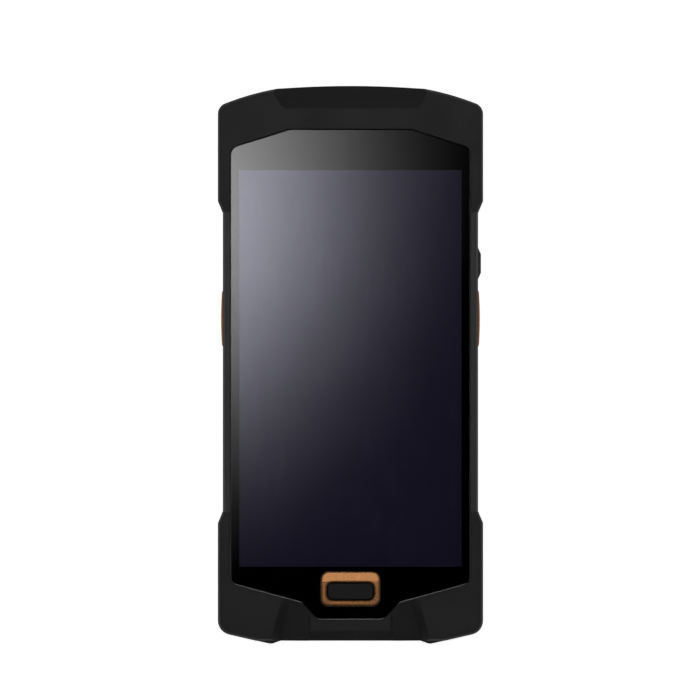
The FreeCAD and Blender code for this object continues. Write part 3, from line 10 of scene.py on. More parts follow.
import bpy
from mathutils import Matrix, Vector
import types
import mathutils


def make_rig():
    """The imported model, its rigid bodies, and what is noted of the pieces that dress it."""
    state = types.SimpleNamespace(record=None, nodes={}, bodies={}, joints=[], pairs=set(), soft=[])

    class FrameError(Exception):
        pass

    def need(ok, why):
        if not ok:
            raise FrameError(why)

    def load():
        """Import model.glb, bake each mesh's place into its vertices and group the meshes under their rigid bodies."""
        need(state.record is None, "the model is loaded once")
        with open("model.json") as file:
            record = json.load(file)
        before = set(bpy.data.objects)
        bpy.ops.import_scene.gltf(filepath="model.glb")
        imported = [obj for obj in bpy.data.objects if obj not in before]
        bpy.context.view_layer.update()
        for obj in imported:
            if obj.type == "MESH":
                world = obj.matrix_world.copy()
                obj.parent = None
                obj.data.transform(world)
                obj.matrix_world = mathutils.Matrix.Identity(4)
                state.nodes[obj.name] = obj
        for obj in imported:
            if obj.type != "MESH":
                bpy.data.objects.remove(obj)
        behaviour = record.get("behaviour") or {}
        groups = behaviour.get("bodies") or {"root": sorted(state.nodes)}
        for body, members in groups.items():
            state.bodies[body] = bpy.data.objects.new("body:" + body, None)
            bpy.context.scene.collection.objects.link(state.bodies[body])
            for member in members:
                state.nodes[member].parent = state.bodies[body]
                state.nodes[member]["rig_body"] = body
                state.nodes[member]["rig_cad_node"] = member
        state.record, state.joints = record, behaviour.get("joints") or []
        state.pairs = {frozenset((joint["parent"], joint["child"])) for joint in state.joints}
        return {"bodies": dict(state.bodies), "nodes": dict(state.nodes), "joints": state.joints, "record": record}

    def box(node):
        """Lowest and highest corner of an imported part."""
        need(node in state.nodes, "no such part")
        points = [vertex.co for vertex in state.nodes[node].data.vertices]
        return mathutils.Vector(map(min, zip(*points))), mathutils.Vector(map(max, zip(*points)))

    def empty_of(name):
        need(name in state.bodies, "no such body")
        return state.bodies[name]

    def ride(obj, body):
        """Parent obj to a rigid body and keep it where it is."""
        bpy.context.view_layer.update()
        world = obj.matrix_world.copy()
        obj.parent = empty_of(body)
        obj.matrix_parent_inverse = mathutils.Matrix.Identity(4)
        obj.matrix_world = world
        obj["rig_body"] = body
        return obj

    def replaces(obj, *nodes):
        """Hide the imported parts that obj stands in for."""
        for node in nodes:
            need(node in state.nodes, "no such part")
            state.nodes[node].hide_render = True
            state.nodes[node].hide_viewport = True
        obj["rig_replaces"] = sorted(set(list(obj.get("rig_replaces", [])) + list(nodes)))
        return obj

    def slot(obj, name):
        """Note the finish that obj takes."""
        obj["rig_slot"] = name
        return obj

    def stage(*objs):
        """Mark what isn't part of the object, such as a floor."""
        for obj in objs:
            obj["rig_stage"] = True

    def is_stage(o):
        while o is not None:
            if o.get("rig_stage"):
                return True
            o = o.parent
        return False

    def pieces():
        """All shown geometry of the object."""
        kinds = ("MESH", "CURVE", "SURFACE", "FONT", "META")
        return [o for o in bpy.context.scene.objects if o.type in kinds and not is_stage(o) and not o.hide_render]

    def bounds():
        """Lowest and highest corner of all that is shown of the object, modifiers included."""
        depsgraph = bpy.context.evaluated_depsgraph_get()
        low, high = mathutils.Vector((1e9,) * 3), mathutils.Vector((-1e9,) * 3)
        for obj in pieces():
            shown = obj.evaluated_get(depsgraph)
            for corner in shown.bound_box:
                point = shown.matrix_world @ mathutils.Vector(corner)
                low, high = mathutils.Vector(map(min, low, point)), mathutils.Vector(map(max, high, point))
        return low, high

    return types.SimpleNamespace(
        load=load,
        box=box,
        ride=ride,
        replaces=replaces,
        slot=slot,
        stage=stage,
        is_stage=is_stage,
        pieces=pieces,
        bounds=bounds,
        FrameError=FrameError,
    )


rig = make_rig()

bl_info = {
    "name": "Handheld payment terminal",
    "version": (1, 0, 0),
    "blender": (4, 5, 0),
    "location": "View3D > Sidebar > Terminal",
    "description": "Dresses the solid parts of a handheld payment terminal and sets up its studio",
    "category": "Object",
}

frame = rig.load()
CAD_BOX = [list(corner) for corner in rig.bounds()]

SIZE_FILE = "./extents.json"
MM = 0.001
TINY = 0.001 * MM
SHARP_ANGLE = math.radians(40.0)
UP, DOWN = (0.0, 0.0, 1.0), (0.0, 0.0, -1.0)
TO_TOP_END, TO_BOTTOM_END, TO_RIGHT = (0.0, 1.0, 0.0), (0.0, -1.0, 0.0), (1.0, 0.0, 0.0)
GOLD = (0.85, 0.62, 0.25)

# Picture and studio

PICTURE_SIDE = 700
PICTURE_SCALE = 0.279 * MM
PICTURE_CENTRE = (-0.46 * PICTURE_SCALE, 14.74 * PICTURE_SCALE)
CAMERA_LENS = 300.0
SENSOR = 36.0
FRONT_LEVEL = 16.0 * MM
CAMERA_HEIGHT = FRONT_LEVEL + PICTURE_SIDE * PICTURE_SCALE * CAMERA_LENS / SENSOR
CAMERA_CLIP = (0.01, 10.0)
TABLE_LEVEL = -0.05 * MM
LIGHT_LEVEL = 1.2
SIDE_LIGHT_OFFSET, SIDE_LIGHT_SIZE = 0.27, (0.30, 0.5)
END_LIGHT_PLACE, END_LIGHT_SIZE = (0.0, 0.24, 0.80), (0.3, 0.08)
ROOM_FADE = (0.10, 0.65)
# The soft light as seen in the glass: its middle, its reach across and along, its turn and where it ends.
SOFT_MIDDLE = (-0.0534, 0.0365)
SOFT_REACH = (0.0280, 0.0357)
SOFT_TURN = math.radians(-21.7)
SOFT_EDGE = 0.008
SOFT_CARD_SIDE = 0.70


# Settings


def colour_setting(name, text, value):
    return bpy.props.FloatVectorProperty(
        name=name, description=text, subtype="COLOR", size=3, min=0.0, max=1.0, default=value
    )


def length_setting(name, text, value):
    return bpy.props.FloatProperty(
        name=name, description=text, subtype="DISTANCE", unit="LENGTH", min=0.0, precision=5, default=value
    )


def strength_setting(name, text, value):
    return bpy.props.FloatProperty(name=name, description=text, min=0.0, default=value)


class TerminalColours(bpy.types.PropertyGroup):
    """Colours of the terminal's finishes."""

    cap: colour_setting("Caps", "Rubber of the two end caps", (0.0165, 0.0165, 0.0169))
    frame_band: colour_setting("Frame", "Moulded plastic round the glass", (0.0335, 0.0335, 0.0342))
    back: colour_setting("Back", "Moulded plastic of the back and its cover", (0.0130, 0.0130, 0.0135))
    orange_key: colour_setting("Orange keys", "Moulded plastic of the two side keys", (0.90, 0.30, 0.030))
    orange_ring: colour_setting("Ring", "Coloured metal ring round the home key", (0.42, 0.190, 0.074))
    home_key: colour_setting("Home key", "Dark key in the ring", (0.0058, 0.0058, 0.0056))
    power_key: colour_setting("Power key", "Dark key in the right side", (0.0300, 0.0300, 0.0305))
    screen: colour_setting("Screen", "Face of the switched-off screen", (0.078, 0.067, 0.158))
    ink: colour_setting("Border ink", "Black border under the glass", (0.0008, 0.0008, 0.0009))
    board: colour_setting("Boards", "Varnish of the circuit boards", (0.010, 0.075, 0.035))
    cell_sleeve: colour_setting("Battery sleeve", "Film round the battery", (0.060, 0.064, 0.070))


class TerminalSizes(bpy.types.PropertyGroup):
    """Sizes of the terminal's small details."""

    cap_edge: length_setting("Cap edge", "Softened edge of the end caps", 0.45 * MM)
    frame_edge: length_setting("Frame edge", "Softened edge of the frame", 0.25 * MM)
    window_half_width: length_setting("Window half width", "Half the width of the clear window", 31.0 * MM)
    window_top: length_setting("Window top", "Upper end of the clear window from the middle", 54.3 * MM)
    window_bottom: length_setting("Window bottom", "Lower end of the clear window from the middle", 56.4 * MM)
    ink_thickness: length_setting("Ink thickness", "Thickness of the printed border", 0.02 * MM)


class TerminalStage(bpy.types.PropertyGroup):
    """Table and lights."""

    table_side: length_setting("Table side", "Side of the table top", 3.0)
    table_glow: strength_setting("Table glow", "How much the table top shines by itself", 0.915)
    sky: strength_setting("Room light", "Light that comes from all round, near the horizon", 0.38)
    side_power: strength_setting("Side lights", "Power of each large light at the sides, in watts", 0.60)
    end_power: strength_setting("End light", "Power of the light beyond the top end, in watts", 0.34)
    glass_card: strength_setting("Soft light in the glass", "Brightness of the mirrored light", 8.15)


# Shader nodes


def add_node(tree, kind, **values):
    """A new shader node with some of its inputs set."""
    node = tree.nodes.new("ShaderNode" + kind)
    for label, value in values.items():
        node.inputs[label].default_value = value
    return node


def link_or_set(tree, value, socket):
    if isinstance(value, bpy.types.NodeSocket):
        tree.links.new(value, socket)
    else:
        socket.default_value = value


def math_node(tree, operation, first, second=None, clamp=False):
    node = add_node(tree, "Math")
    node.operation, node.use_clamp = operation, clamp
    for socket, value in zip(node.inputs, (first, second)):
        if value is not None:
            link_or_set(tree, value, socket)
    return node.outputs[0]


def product(tree, first, second, clamp=False):
    return math_node(tree, "MULTIPLY", first, second, clamp)


def dot_product(tree, first, second):
    node = add_node(tree, "VectorMath")
    node.operation = "DOT_PRODUCT"
    tree.links.new(first, node.inputs[0])
    tree.links.new(second, node.inputs[1])
    return node.outputs["Value"]


def object_place(tree):
    """The place on the piece, from one node for the whole tree."""
    found = tree.nodes.get("Place")
    if found is None:
        found = add_node(tree, "TexCoord")
        found.name = "Place"
    return found.outputs["Object"]


def stretched_place(tree, scale, turn=0.0):
    """The place on the piece, turned about Z and scaled along its axes."""
    node = add_node(tree, "Mapping", Rotation=(0.0, 0.0, turn), Scale=scale)
    tree.links.new(object_place(tree), node.inputs["Vector"])
    return node.outputs[0]


def noise(tree, scale, detail=3.0, roughness=0.5, vector=None):
    """Soft noise over the piece. The scale is in waves per metre."""
    node = add_node(tree, "TexNoise", Detail=detail, Roughness=roughness)
    link_or_set(tree, scale, node.inputs["Scale"])
    tree.links.new(vector or object_place(tree), node.inputs["Vector"])
    return node.outputs["Fac"]


def cells(tree, scale):
    """The distance to the nearest of many scattered points. The scale is in points per metre."""
    node = add_node(tree, "TexVoronoi")
    link_or_set(tree, scale, node.inputs["Scale"])
    tree.links.new(object_place(tree), node.inputs["Vector"])
    return node.outputs["Distance"]


def spread(tree, value, low, high, out_low=0.0, out_high=1.0, smooth=False):
    """Maps low..high to out_low..out_high, held at both ends."""
    node = add_node(tree, "MapRange")
    node.clamp = True
    node.interpolation_type = "SMOOTHSTEP" if smooth else "LINEAR"
    tree.links.new(value, node.inputs["Value"])
    for label, number in (("From Min", low), ("From Max", high), ("To Min", out_low), ("To Max", out_high)):
        link_or_set(tree, number, node.inputs[label])
    return node.outputs["Result"]


def blend(tree, factor, first, second):
    """A colour between first and second."""
    node = add_node(tree, "Mix")
    node.data_type = "RGBA"
    link_or_set(tree, factor, node.inputs[0])
    for socket, value in ((node.inputs[6], first), (node.inputs[7], second)):
        link_or_set(tree, value if isinstance(value, bpy.types.NodeSocket) else (*value, 1.0), socket)
    return node.outputs[2]


def axis_value(tree, vector, axis):
    node = add_node(tree, "SeparateXYZ")
    tree.links.new(vector, node.inputs[0])
    return node.outputs[axis]


def facing_up(tree, low, high):
    """1 where the surface looks up, 0 where it doesn't."""
    normal = add_node(tree, "NewGeometry").outputs["Normal"]
    return spread(tree, axis_value(tree, normal, "Z"), low, high)


# Shader groups


def new_group(name, inputs, outputs):
    """An empty shader group with its named sockets, its input node and its output node."""
    tree = bpy.data.node_groups.new(name, "ShaderNodeTree")
    for label, value in inputs.items():
        socket = tree.interface.new_socket(label, in_out="INPUT", socket_type="NodeSocketFloat")
        socket.default_value = value
    for label, kind in outputs.items():
        tree.interface.new_socket(label, in_out="OUTPUT", socket_type="NodeSocket" + kind)
    return tree, tree.nodes.new("NodeGroupInput"), tree.nodes.new("NodeGroupOutput")


def put_mask(tree, inside, outside, mask):
    """Sends a mask out of a group, times the group's own amount."""
    tree.links.new(product(tree, mask, inside.outputs["Amount"], True), outside.inputs["Mask"])


def grain_group():
    """Fine grain as a mould leaves it: a height, and a slow change of tone."""
    outputs = {"Height": "Float", "Tone": "Float"}
    tree, inside, outside = new_group("Moulded grain", {"Scale": 3000.0}, outputs)
    scale = inside.outputs["Scale"]
    fine = noise(tree, product(tree, scale, 1.7), 2.0)
    tree.links.new(math_node(tree, "ADD", cells(tree, scale), fine), outside.inputs["Height"])
    tree.links.new(noise(tree, 60.0, 4.0, 0.6), outside.inputs["Tone"])


def edge_group():
    """Softened edges, where hands rub them, and the whole edge as a mask that the ring uses for painted shade."""
    outputs = {"Mask": "Float", "Edge": "Float", "Normal": "Vector"}
    tree, inside, outside = new_group("Rubbed and shaded edges", {"Radius": 0.3 * MM, "Amount": 0.3}, outputs)
    bevel = add_node(tree, "Bevel")
    bevel.samples = 6
    normal = bevel.outputs["Normal"]
    tree.links.new(inside.outputs["Radius"], bevel.inputs["Radius"])
    tree.links.new(normal, outside.inputs["Normal"])
    turn = dot_product(tree, normal, add_node(tree, "NewGeometry").outputs["Normal"])
    edge = spread(tree, turn, 0.995, 0.85)
    # The whole edge, sent out for the painted shade on the ring's edges.
    tree.links.new(edge, outside.inputs["Edge"])
    broken = spread(tree, noise(tree, 900.0, 4.0, 0.7), 0.40, 0.65)
    put_mask(tree, inside, outside, product(tree, edge, broken))


def dust_group():
    """Specks of dust that settle on what faces up."""
    tree, inside, outside = new_group("Settled dust", {"Amount": 0.2}, {"Mask": "Float"})
    specks = spread(tree, cells(tree, 2600.0), 0.16, 0.06)
    patches = spread(tree, noise(tree, 110.0), 0.50, 0.72)
    put_mask(tree, inside, outside, product(tree, product(tree, facing_up(tree, 0.3, 0.95), specks), patches))


def smear_group():
    """Faint wipe marks and prints on polished faces."""
    tree, inside, outside = new_group("Wipe marks", {"Scale": 40.0, "Amount": 0.5}, {"Mask": "Float"})
    scale = inside.outputs["Scale"]
    wiped = stretched_place(tree, (1.0, 0.18, 1.0), 0.6)
    streaks = spread(tree, noise(tree, product(tree, scale, 8.0), 5.0, 0.6, wiped), 0.45, 0.75)
    put_mask(tree, inside, outside, product(tree, streaks, spread(tree, noise(tree, scale), 0.40, 0.70)))


def brush_group():
    """Long fine lines of rolled or brushed metal, along X."""
    tree, inside, outside = new_group("Rolled metal", {"Scale": 1200.0}, {"Height": "Float"})
    lines = noise(tree, inside.outputs["Scale"], 4.0, 0.7, stretched_place(tree, (0.03, 1.0, 1.0)))
    tree.links.new(lines, outside.inputs["Height"])


def use_group(tree, name, **values):
    """Places a shader group and sets its inputs."""
    node = add_node(tree, "Group")
    node.node_tree = bpy.data.node_groups[name]
    for label, value in values.items():
        node.inputs[label].default_value = value
    return node.outputs


# Finishes


def grey(value):
    return value, value, value


def times(colour, factor):
    return tuple(min(1.0, part * factor) for part in colour)


def new_finish(name, roughness, metallic=0.0):
    material = bpy.data.materials.new(name)
    material.use_nodes = True
    shader = material.node_tree.nodes["Principled BSDF"]
    shader.inputs["Roughness"].default_value = roughness
    shader.inputs["Metallic"].default_value = metallic
    return material, material.node_tree, shader


def mottle(tree, value, colour, darker, lighter, roughness, reach):
    """A colour and a roughness that both change a little with a soft noise."""
    tone = spread(tree, value, 0.3, 0.7)
    mixed = blend(tree, tone, times(colour, darker), times(colour, lighter))
    return mixed, spread(tree, tone, 0.0, 1.0, roughness - reach, roughness + reach)


def paint(tree, shader, colour, rough):
    """Gives a shader its colour and its roughness."""
    tree.links.new(colour, shader.inputs["Base Color"])
    tree.links.new(rough, shader.inputs["Roughness"])


def raise_surface(tree, shader, height, distance, normal=None):
    bump = add_node(tree, "Bump", Strength=1.0, Distance=distance)
    tree.links.new(height, bump.inputs["Height"])
    if normal is not None:
        tree.links.new(normal, bump.inputs["Normal"])
    tree.links.new(bump.outputs["Normal"], shader.inputs["Normal"])


def moulded(
    name, colour, roughness, grain=3000.0, depth=0.02 * MM, edge=0.2 * MM, wear=0.25, dust=0.25, gloss=0.5
):
    """Moulded plastic or rubber with its grain, softened and rubbed edges, and a little dust."""
    material, tree, shader = new_finish(name, roughness)
    shader.inputs["Specular IOR Level"].default_value = gloss
    grains = use_group(tree, "Moulded grain", Scale=grain)
    edges = use_group(tree, "Rubbed and shaded edges", Radius=edge, Amount=wear)
    specks = use_group(tree, "Settled dust", Amount=dust)
    plain, rough = mottle(tree, grains["Tone"], colour, 0.88, 1.12, roughness, 0.05)
    rubbed = blend(tree, edges["Mask"], plain, times(colour, 2.2))
    paint(tree, shader, blend(tree, specks["Mask"], rubbed, (0.16, 0.155, 0.15)), rough)
    raise_surface(tree, shader, grains["Height"], depth, edges["Normal"])
    return material


def metal(name, colour, roughness, lines=1200.0, depth=0.004 * MM, edge=0.1 * MM):
    """Rolled or plated metal with fine lines and brighter rubbed edges."""
    material, tree, shader = new_finish(name, roughness, 1.0)
    rolled = use_group(tree, "Rolled metal", Scale=lines)
    edges = use_group(tree, "Rubbed and shaded edges", Radius=edge, Amount=0.5)
    plain, rough = mottle(tree, rolled["Height"], colour, 0.86, 1.08, roughness, 0.06)
    paint(tree, shader, blend(tree, edges["Mask"], plain, times(colour, 1.25)), rough)
    raise_surface(tree, shader, rolled["Height"], depth, edges["Normal"])
    return material


def anodised(name, colour, roughness, grain=9000.0, edge=0.12 * MM):
    """Blasted and dyed metal: a fine satin grain, and painted shade that darkens the edges in place of the shading
    their rounding would give.
    """
    material, tree, shader = new_finish(name, roughness, 1.0)
    grains = use_group(tree, "Moulded grain", Scale=grain)
    edges = use_group(tree, "Rubbed and shaded edges", Radius=edge)
    plain, rough = mottle(tree, grains["Tone"], colour, 0.93, 1.07, roughness, 0.04)
    # Painted shade: the edges are darkened to 0.45 of the colour, as if they were rounded away from the light.
    paint(tree, shader, blend(tree, edges["Edge"], plain, times(colour, 0.45)), rough)
    raise_surface(tree, shader, grains["Height"], 0.002 * MM, edges["Normal"])
    return material


def clear_glass(name, tint, roughness=0.015, ior=1.5, marks=0.02):
    """Polished clear glass with faint wipe marks."""
    material, tree, shader = new_finish(name, roughness)
    shader.inputs["Base Color"].default_value = (*tint, 1.0)
    shader.inputs["Transmission Weight"].default_value = 1.0
    shader.inputs["IOR"].default_value = ior
    if marks:
        wiped = use_group(tree, "Wipe marks", Scale=40.0, Amount=1.0)
        rough = spread(tree, wiped["Mask"], 0.0, 1.0, roughness, roughness + marks)
        tree.links.new(rough, shader.inputs["Roughness"])
    return material


def polished(name, colour, roughness, gloss=0.5, marks=0.4):
    """A glossy dark face with faint wipe marks."""
    material, tree, shader = new_finish(name, roughness)
    shader.inputs["Specular IOR Level"].default_value = gloss
    wiped = use_group(tree, "Wipe marks", Scale=60.0, Amount=marks)
    rough = spread(tree, wiped["Mask"], 0.0, 1.0, roughness, roughness + 0.12)
    paint(tree, shader, blend(tree, wiped["Mask"], colour, times(colour, 1.3)), rough)
    return material


def varnished_board(name, colour):
    """Circuit board varnish over paler tracks, with small plated dots."""
    material, tree, shader = new_finish(name, 0.32)
    sizes = {"Scale": 420.0, "Mortar Size": 0.06, "Brick Width": 1.9, "Row Height": 0.32}
    tracks = add_node(tree, "TexBrick", **sizes)
    tracks.offset, tracks.squash = 0.37, 0.6
    tree.links.new(object_place(tree), tracks.inputs["Vector"])
    lines = product(tree, tracks.outputs["Fac"], spread(tree, noise(tree, 130.0), 0.42, 0.50))
    plated = spread(tree, noise(tree, 210.0), 0.52, 0.56)
    dots = product(tree, spread(tree, cells(tree, 520.0), 0.14, 0.11), plated)
    varnish = blend(tree, lines, colour, times(colour, 2.4))
    tree.links.new(blend(tree, dots, varnish, (0.62, 0.50, 0.24)), shader.inputs["Base Color"])
    tree.links.new(dots, shader.inputs["Metallic"])
    raise_surface(tree, shader, math_node(tree, "ADD", lines, dots), 0.02 * MM)
    return material


def pierced(name, colour, roughness, pitch=1.9 * MM):
    """Thin pressed sheet with rows of small holes in the faces that look up, painted near black as painted shade
    inside them.
    """
    material, tree, shader = new_finish(name, roughness, 1.0)
    rolled = use_group(tree, "Rolled metal", Scale=1500.0)
    edges = use_group(tree, "Rubbed and shaded edges", Radius=0.1 * MM, Amount=0.5)
    grid = add_node(tree, "TexVoronoi", Scale=1.0 / pitch, Randomness=0.0)
    grid.voronoi_dimensions = "2D"
    tree.links.new(object_place(tree), grid.inputs["Vector"])
    holes = product(tree, spread(tree, grid.outputs["Distance"], 0.24, 0.20), facing_up(tree, 0.90, 0.95))
    sheet = blend(tree, spread(tree, rolled["Height"], 0.3, 0.7), times(colour, 0.88), times(colour, 1.06))
    worn = blend(tree, edges["Mask"], sheet, times(colour, 1.25))
    # Painted shade: the holes are near black, for the dark inside the can seen through them.
    paint(tree, shader, blend(tree, holes, worn, grey(0.004)), spread(tree, holes, 0.0, 1.0, roughness, 0.9))
    depth = math_node(tree, "SUBTRACT", product(tree, rolled["Height"], 0.05), holes)
    raise_surface(tree, shader, depth, 0.08 * MM, edges["Normal"])
    return material


# Making: places and whole sizes are in metres, and insets, pushes and edge sizes in millimetres


def dress(names, material):
    """Gives solid parts their material."""
    for name in names.split():
        slots = frame["nodes"][name].data.materials
        slots.clear()
        slots.append(material)


def leave_edit():
    bpy.ops.object.mode_set(mode="OBJECT")


def start():
    """Object mode, with nothing selected."""
    if bpy.context.mode != "OBJECT":
        leave_edit()
    bpy.ops.object.select_all(action="DESELECT")


def activate(made):
    start()
    bpy.context.view_layer.objects.active = made
    made.select_set(True)


def named(name):
    """Names the new primitive, and puts its place, turn and size into its mesh."""
    made = bpy.context.object
    made.name = name
    bpy.ops.object.transform_apply(location=True, rotation=True, scale=True)
    return made


def block(name, low, high):
    """A box between two corners."""
    start()
    low, high = Vector(low), Vector(high)
    bpy.ops.mesh.primitive_cube_add(size=1.0, location=(low + high) / 2, scale=high - low)
    return named(name)


def rod(name, centre, radius, length, axis="Z", sides=32):
    """A round bar about its centre, along one axis."""
    start()
    turn = {"Z": (0.0, 0.0, 0.0), "Y": (math.pi / 2, 0.0, 0.0)}[axis]
    bpy.ops.mesh.primitive_cylinder_add(
        vertices=sides, radius=radius, depth=length, location=centre, rotation=turn
    )
    return named(name)


def dome(name, centre, radius, shape, sides):
    """A ball about its centre, squashed by its shape along each axis."""
    start()
    bpy.ops.mesh.primitive_uv_sphere_add(
        segments=sides, ring_count=sides // 2, radius=radius, location=centre, scale=shape
    )
    return named(name)


def pick_all(made):
    """Edit mode with all of a piece selected."""
    activate(made)
    bpy.ops.object.mode_set(mode="EDIT")
    bpy.ops.mesh.select_all(action="SELECT")


def pick(made, test, kind="FACE"):
    """Edit mode with what passes the test selected: faces by centre and normal, edges by their two ends."""
    activate(made)
    bpy.ops.object.mode_set(mode="EDIT")
    bpy.ops.mesh.select_mode(type=kind)
    bpy.ops.mesh.select_all(action="DESELECT")
    leave_edit()
    points = made.data.vertices
    if kind == "FACE":
        for face in made.data.polygons:
            face.select = test(face.center, face.normal)
    else:
        for edge in made.data.edges:
            edge.select = test(points[edge.vertices[0]].co, points[edge.vertices[1]].co)
    bpy.ops.object.mode_set(mode="EDIT")


def outermost(made, direction):
    """A test for the flat face that lies furthest out in a direction."""
    direction = Vector(direction)
    reach = max(point.co.dot(direction) for point in made.data.vertices) - TINY
    return lambda centre, normal: normal.dot(direction) > 0.9999 and centre.dot(direction) > reach


def push(direction, length):
    bpy.ops.mesh.extrude_region_move(TRANSFORM_OT_translate={"value": Vector(direction) * length})


def steps(made, direction, *moves):
    """Insets the outermost face in a direction and pushes it, once for each pair of millimetres."""
    pick(made, outermost(made, direction))
    for margin, length in moves:
        if margin:
            bpy.ops.mesh.inset(thickness=margin * MM, depth=0.0)
        if length:
            push(direction, length * MM)
    leave_edit()
    return made


def round_edges(made, along, size, segments=4):
    """Rounds the edges that run along one axis, by some millimetres."""
    pick(made, lambda a, b: abs((b - a).normalized()[along]) > 0.99, "EDGE")
    bpy.ops.mesh.bevel(offset=size * MM, segments=segments, affect="EDGES")
    leave_edit()
    return made


def change(made, kind, **values):
    """Applies one modifier with the values given."""
    activate(made)
    modifier = made.modifiers.new("Change", kind)
    for label, value in values.items():
        setattr(modifier, label, value)
    bpy.ops.object.modifier_apply(modifier=modifier.name)
    return made


def smooth(made, angle=SHARP_ANGLE):
    activate(made)
    bpy.ops.object.shade_smooth_by_angle(angle=angle)
    return made


def soften(made, size=0.1, segments=2):
    """Rounds every sharp edge by some millimetres and shades the rest smooth."""
    edges = {"width": size * MM, "segments": segments}
    return smooth(change(made, "BEVEL", **edges, limit_method="ANGLE", angle_limit=SHARP_ANGLE))


def join(name, parts):
    start()
    for part in parts:
        part.select_set(True)
    bpy.context.view_layer.objects.active = parts[0]
    if len(parts) > 1:
        bpy.ops.object.join()
    parts[0].name = name
    return parts[0]


def copies(made, places):
    """The piece modelled at the origin, copied to each place and joined into one."""
    name, parts = made.name, []
    for place in places:
        part = made.copy()
        part.data = made.data.copy()
        part.data.transform(place if isinstance(place, Matrix) else Matrix.Translation(place))
        bpy.context.scene.collection.objects.link(part)
        parts.append(part)
    bpy.data.objects.remove(made)
    return join(name, parts)


def corners(low, high, margin, level):
    """The four places a margin inside the corners of a box."""
    return [
        Vector((x, y, level))
        for x in (low.x + margin, high.x - margin)
        for y in (low.y + margin, high.y - margin)
    ]


def spot(x, y):
    """A place in the XY plane, from millimetres."""
    return Vector((x * MM, y * MM, 0.0))


def copy_of(node, name):
    """A copy of a solid part's mesh with its doubles merged."""
    made = bpy.data.objects.new(name, frame["nodes"][node].data.copy())
    bpy.context.scene.collection.objects.link(made)
    pick_all(made)
    bpy.ops.mesh.remove_doubles(threshold=TINY)
    leave_edit()
    return made


def combine(target, tool, operation="DIFFERENCE"):
    """Cuts or keeps what the tool holds, and removes the tool."""
    change(target, "BOOLEAN", operation=operation, solver="EXACT", object=tool)
    bpy.data.objects.remove(tool)
    return target


def round_box(node):
    """The box of a round part, with its middle and its radius."""
    low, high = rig.box(node)
    return low, high, (low + high) / 2, (high.x - low.x) / 2


def finish_piece(made, material, slot, *nodes):
    """Gives a piece its material, its slot and its body, and names the solid parts that it stands for."""
    made.data.materials.clear()
    made.data.materials.append(material)
    if nodes:
        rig.replaces(made, *nodes)
    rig.slot(made, slot)
    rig.ride(made, "root")


# Shell, screen, keys and inside


class TERMINAL_OT_shell(bpy.types.Operator):
    """Finish the end caps, the frame, the back and the battery cover"""

    bl_idname = "terminal.shell"
    bl_label = "Shell"

    def execute(self, context):
        colours, sizes = context.scene.terminal_colours, context.scene.terminal_sizes
        cap = moulded("Cap rubber", colours.cap, 0.52, 2600.0, 0.012 * MM, sizes.cap_edge, 0.22, gloss=0.42)
        band = moulded(
            "Frame plastic", colours.frame_band, 0.40, 3400.0, 0.008 * MM, sizes.frame_edge, 0.3, gloss=0.42
        )
        back = moulded("Back plastic", colours.back, 0.55, 1800.0, 0.035 * MM, sizes.frame_edge, 0.3)
        dress("top_bumper bottom_bumper", cap)
        dress("front_frame", band)
        dress("rear_housing battery_cover", back)
        return {"FINISHED"}


class TERMINAL_OT_screen(bpy.types.Operator):
    """Build the glass, its printed border and the switched-off screen"""

    bl_idname = "terminal.screen"
    bl_label = "Screen"

    def execute(self, context):
        colours, sizes = context.scene.terminal_colours, context.scene.terminal_sizes
        dress("cover_glass", clear_glass("Cover glass", (1.0, 1.0, 1.0), 0.0, marks=0.0))
        dress("glass_gasket", moulded("Seal foam", grey(0.004), 0.8))
        low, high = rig.box("cover_glass")
        level = low.z + sizes.ink_thickness
        ink = block("glass_border_ink", (low.x, low.y, level), (high.x, high.y, level + sizes.ink_thickness))
        combine(ink, copy_of("cover_glass", "outline"), "INTERSECT")
        half, bottom, top = sizes.window_half_width, -sizes.window_bottom, sizes.window_top
        combine(ink, block("window", (-half, bottom, 0.0), (half, top, 30.0 * MM)))
        finish_piece(ink, polished("Border ink", colours.ink, 0.03, 0.60, 0.2), "front_glass")
        low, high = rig.box("display_panel")
        top, chamfer = high.z + sizes.ink_thickness / 2, 0.2
        panel = round_edges(block("screen_panel", low, (high.x, high.y, top - chamfer * MM)), 2, 0.6)
        steps(panel, UP, (0.45, chamfer))
        face = polished("Screen face", colours.screen, 0.06, 0.88)
        tint = face.node_tree.nodes["Principled BSDF"].inputs["Specular Tint"]
        tint.default_value = (0.867, 0.867, 1.0, 1.0)
        finish_piece(panel, face, "display_face", "display_panel")
        return {"FINISHED"}


class TERMINAL_OT_keys(bpy.types.Operator):
    """Finish the ring, the home key, the side keys and what they press"""

    bl_idname = "terminal.keys"
    bl_label = "Keys"

    def execute(self, context):
        colours, depth = context.scene.terminal_colours, 0.004 * MM
        # The ring's edges get painted shade 0.45 mm wide, through this edge size.
        dress("home_key_ring", anodised("Orange ring", colours.orange_ring, 0.26, edge=0.45 * MM))
        home = moulded("Home key plastic", colours.home_key, 0.35, 3600.0, depth, 0.25 * MM, 0.3, 0.15, 0.25)
        power = moulded("Power key plastic", colours.power_key, 0.38, 3600.0, depth, 0.25 * MM, 0.3)
        orange = moulded("Orange plastic", colours.orange_key, 0.38, 3200.0, depth, 0.2 * MM, 0.2)
        dress("home_key", home)
        dress("power_key", power)
        dress("left_scan_key right_scan_key", orange)
        spring = metal("Switch dome", (0.72, 0.72, 0.70), 0.25)
        dress("home_key_switch left_scan_switch right_scan_switch power_switch", spring)
        return {"FINISHED"}


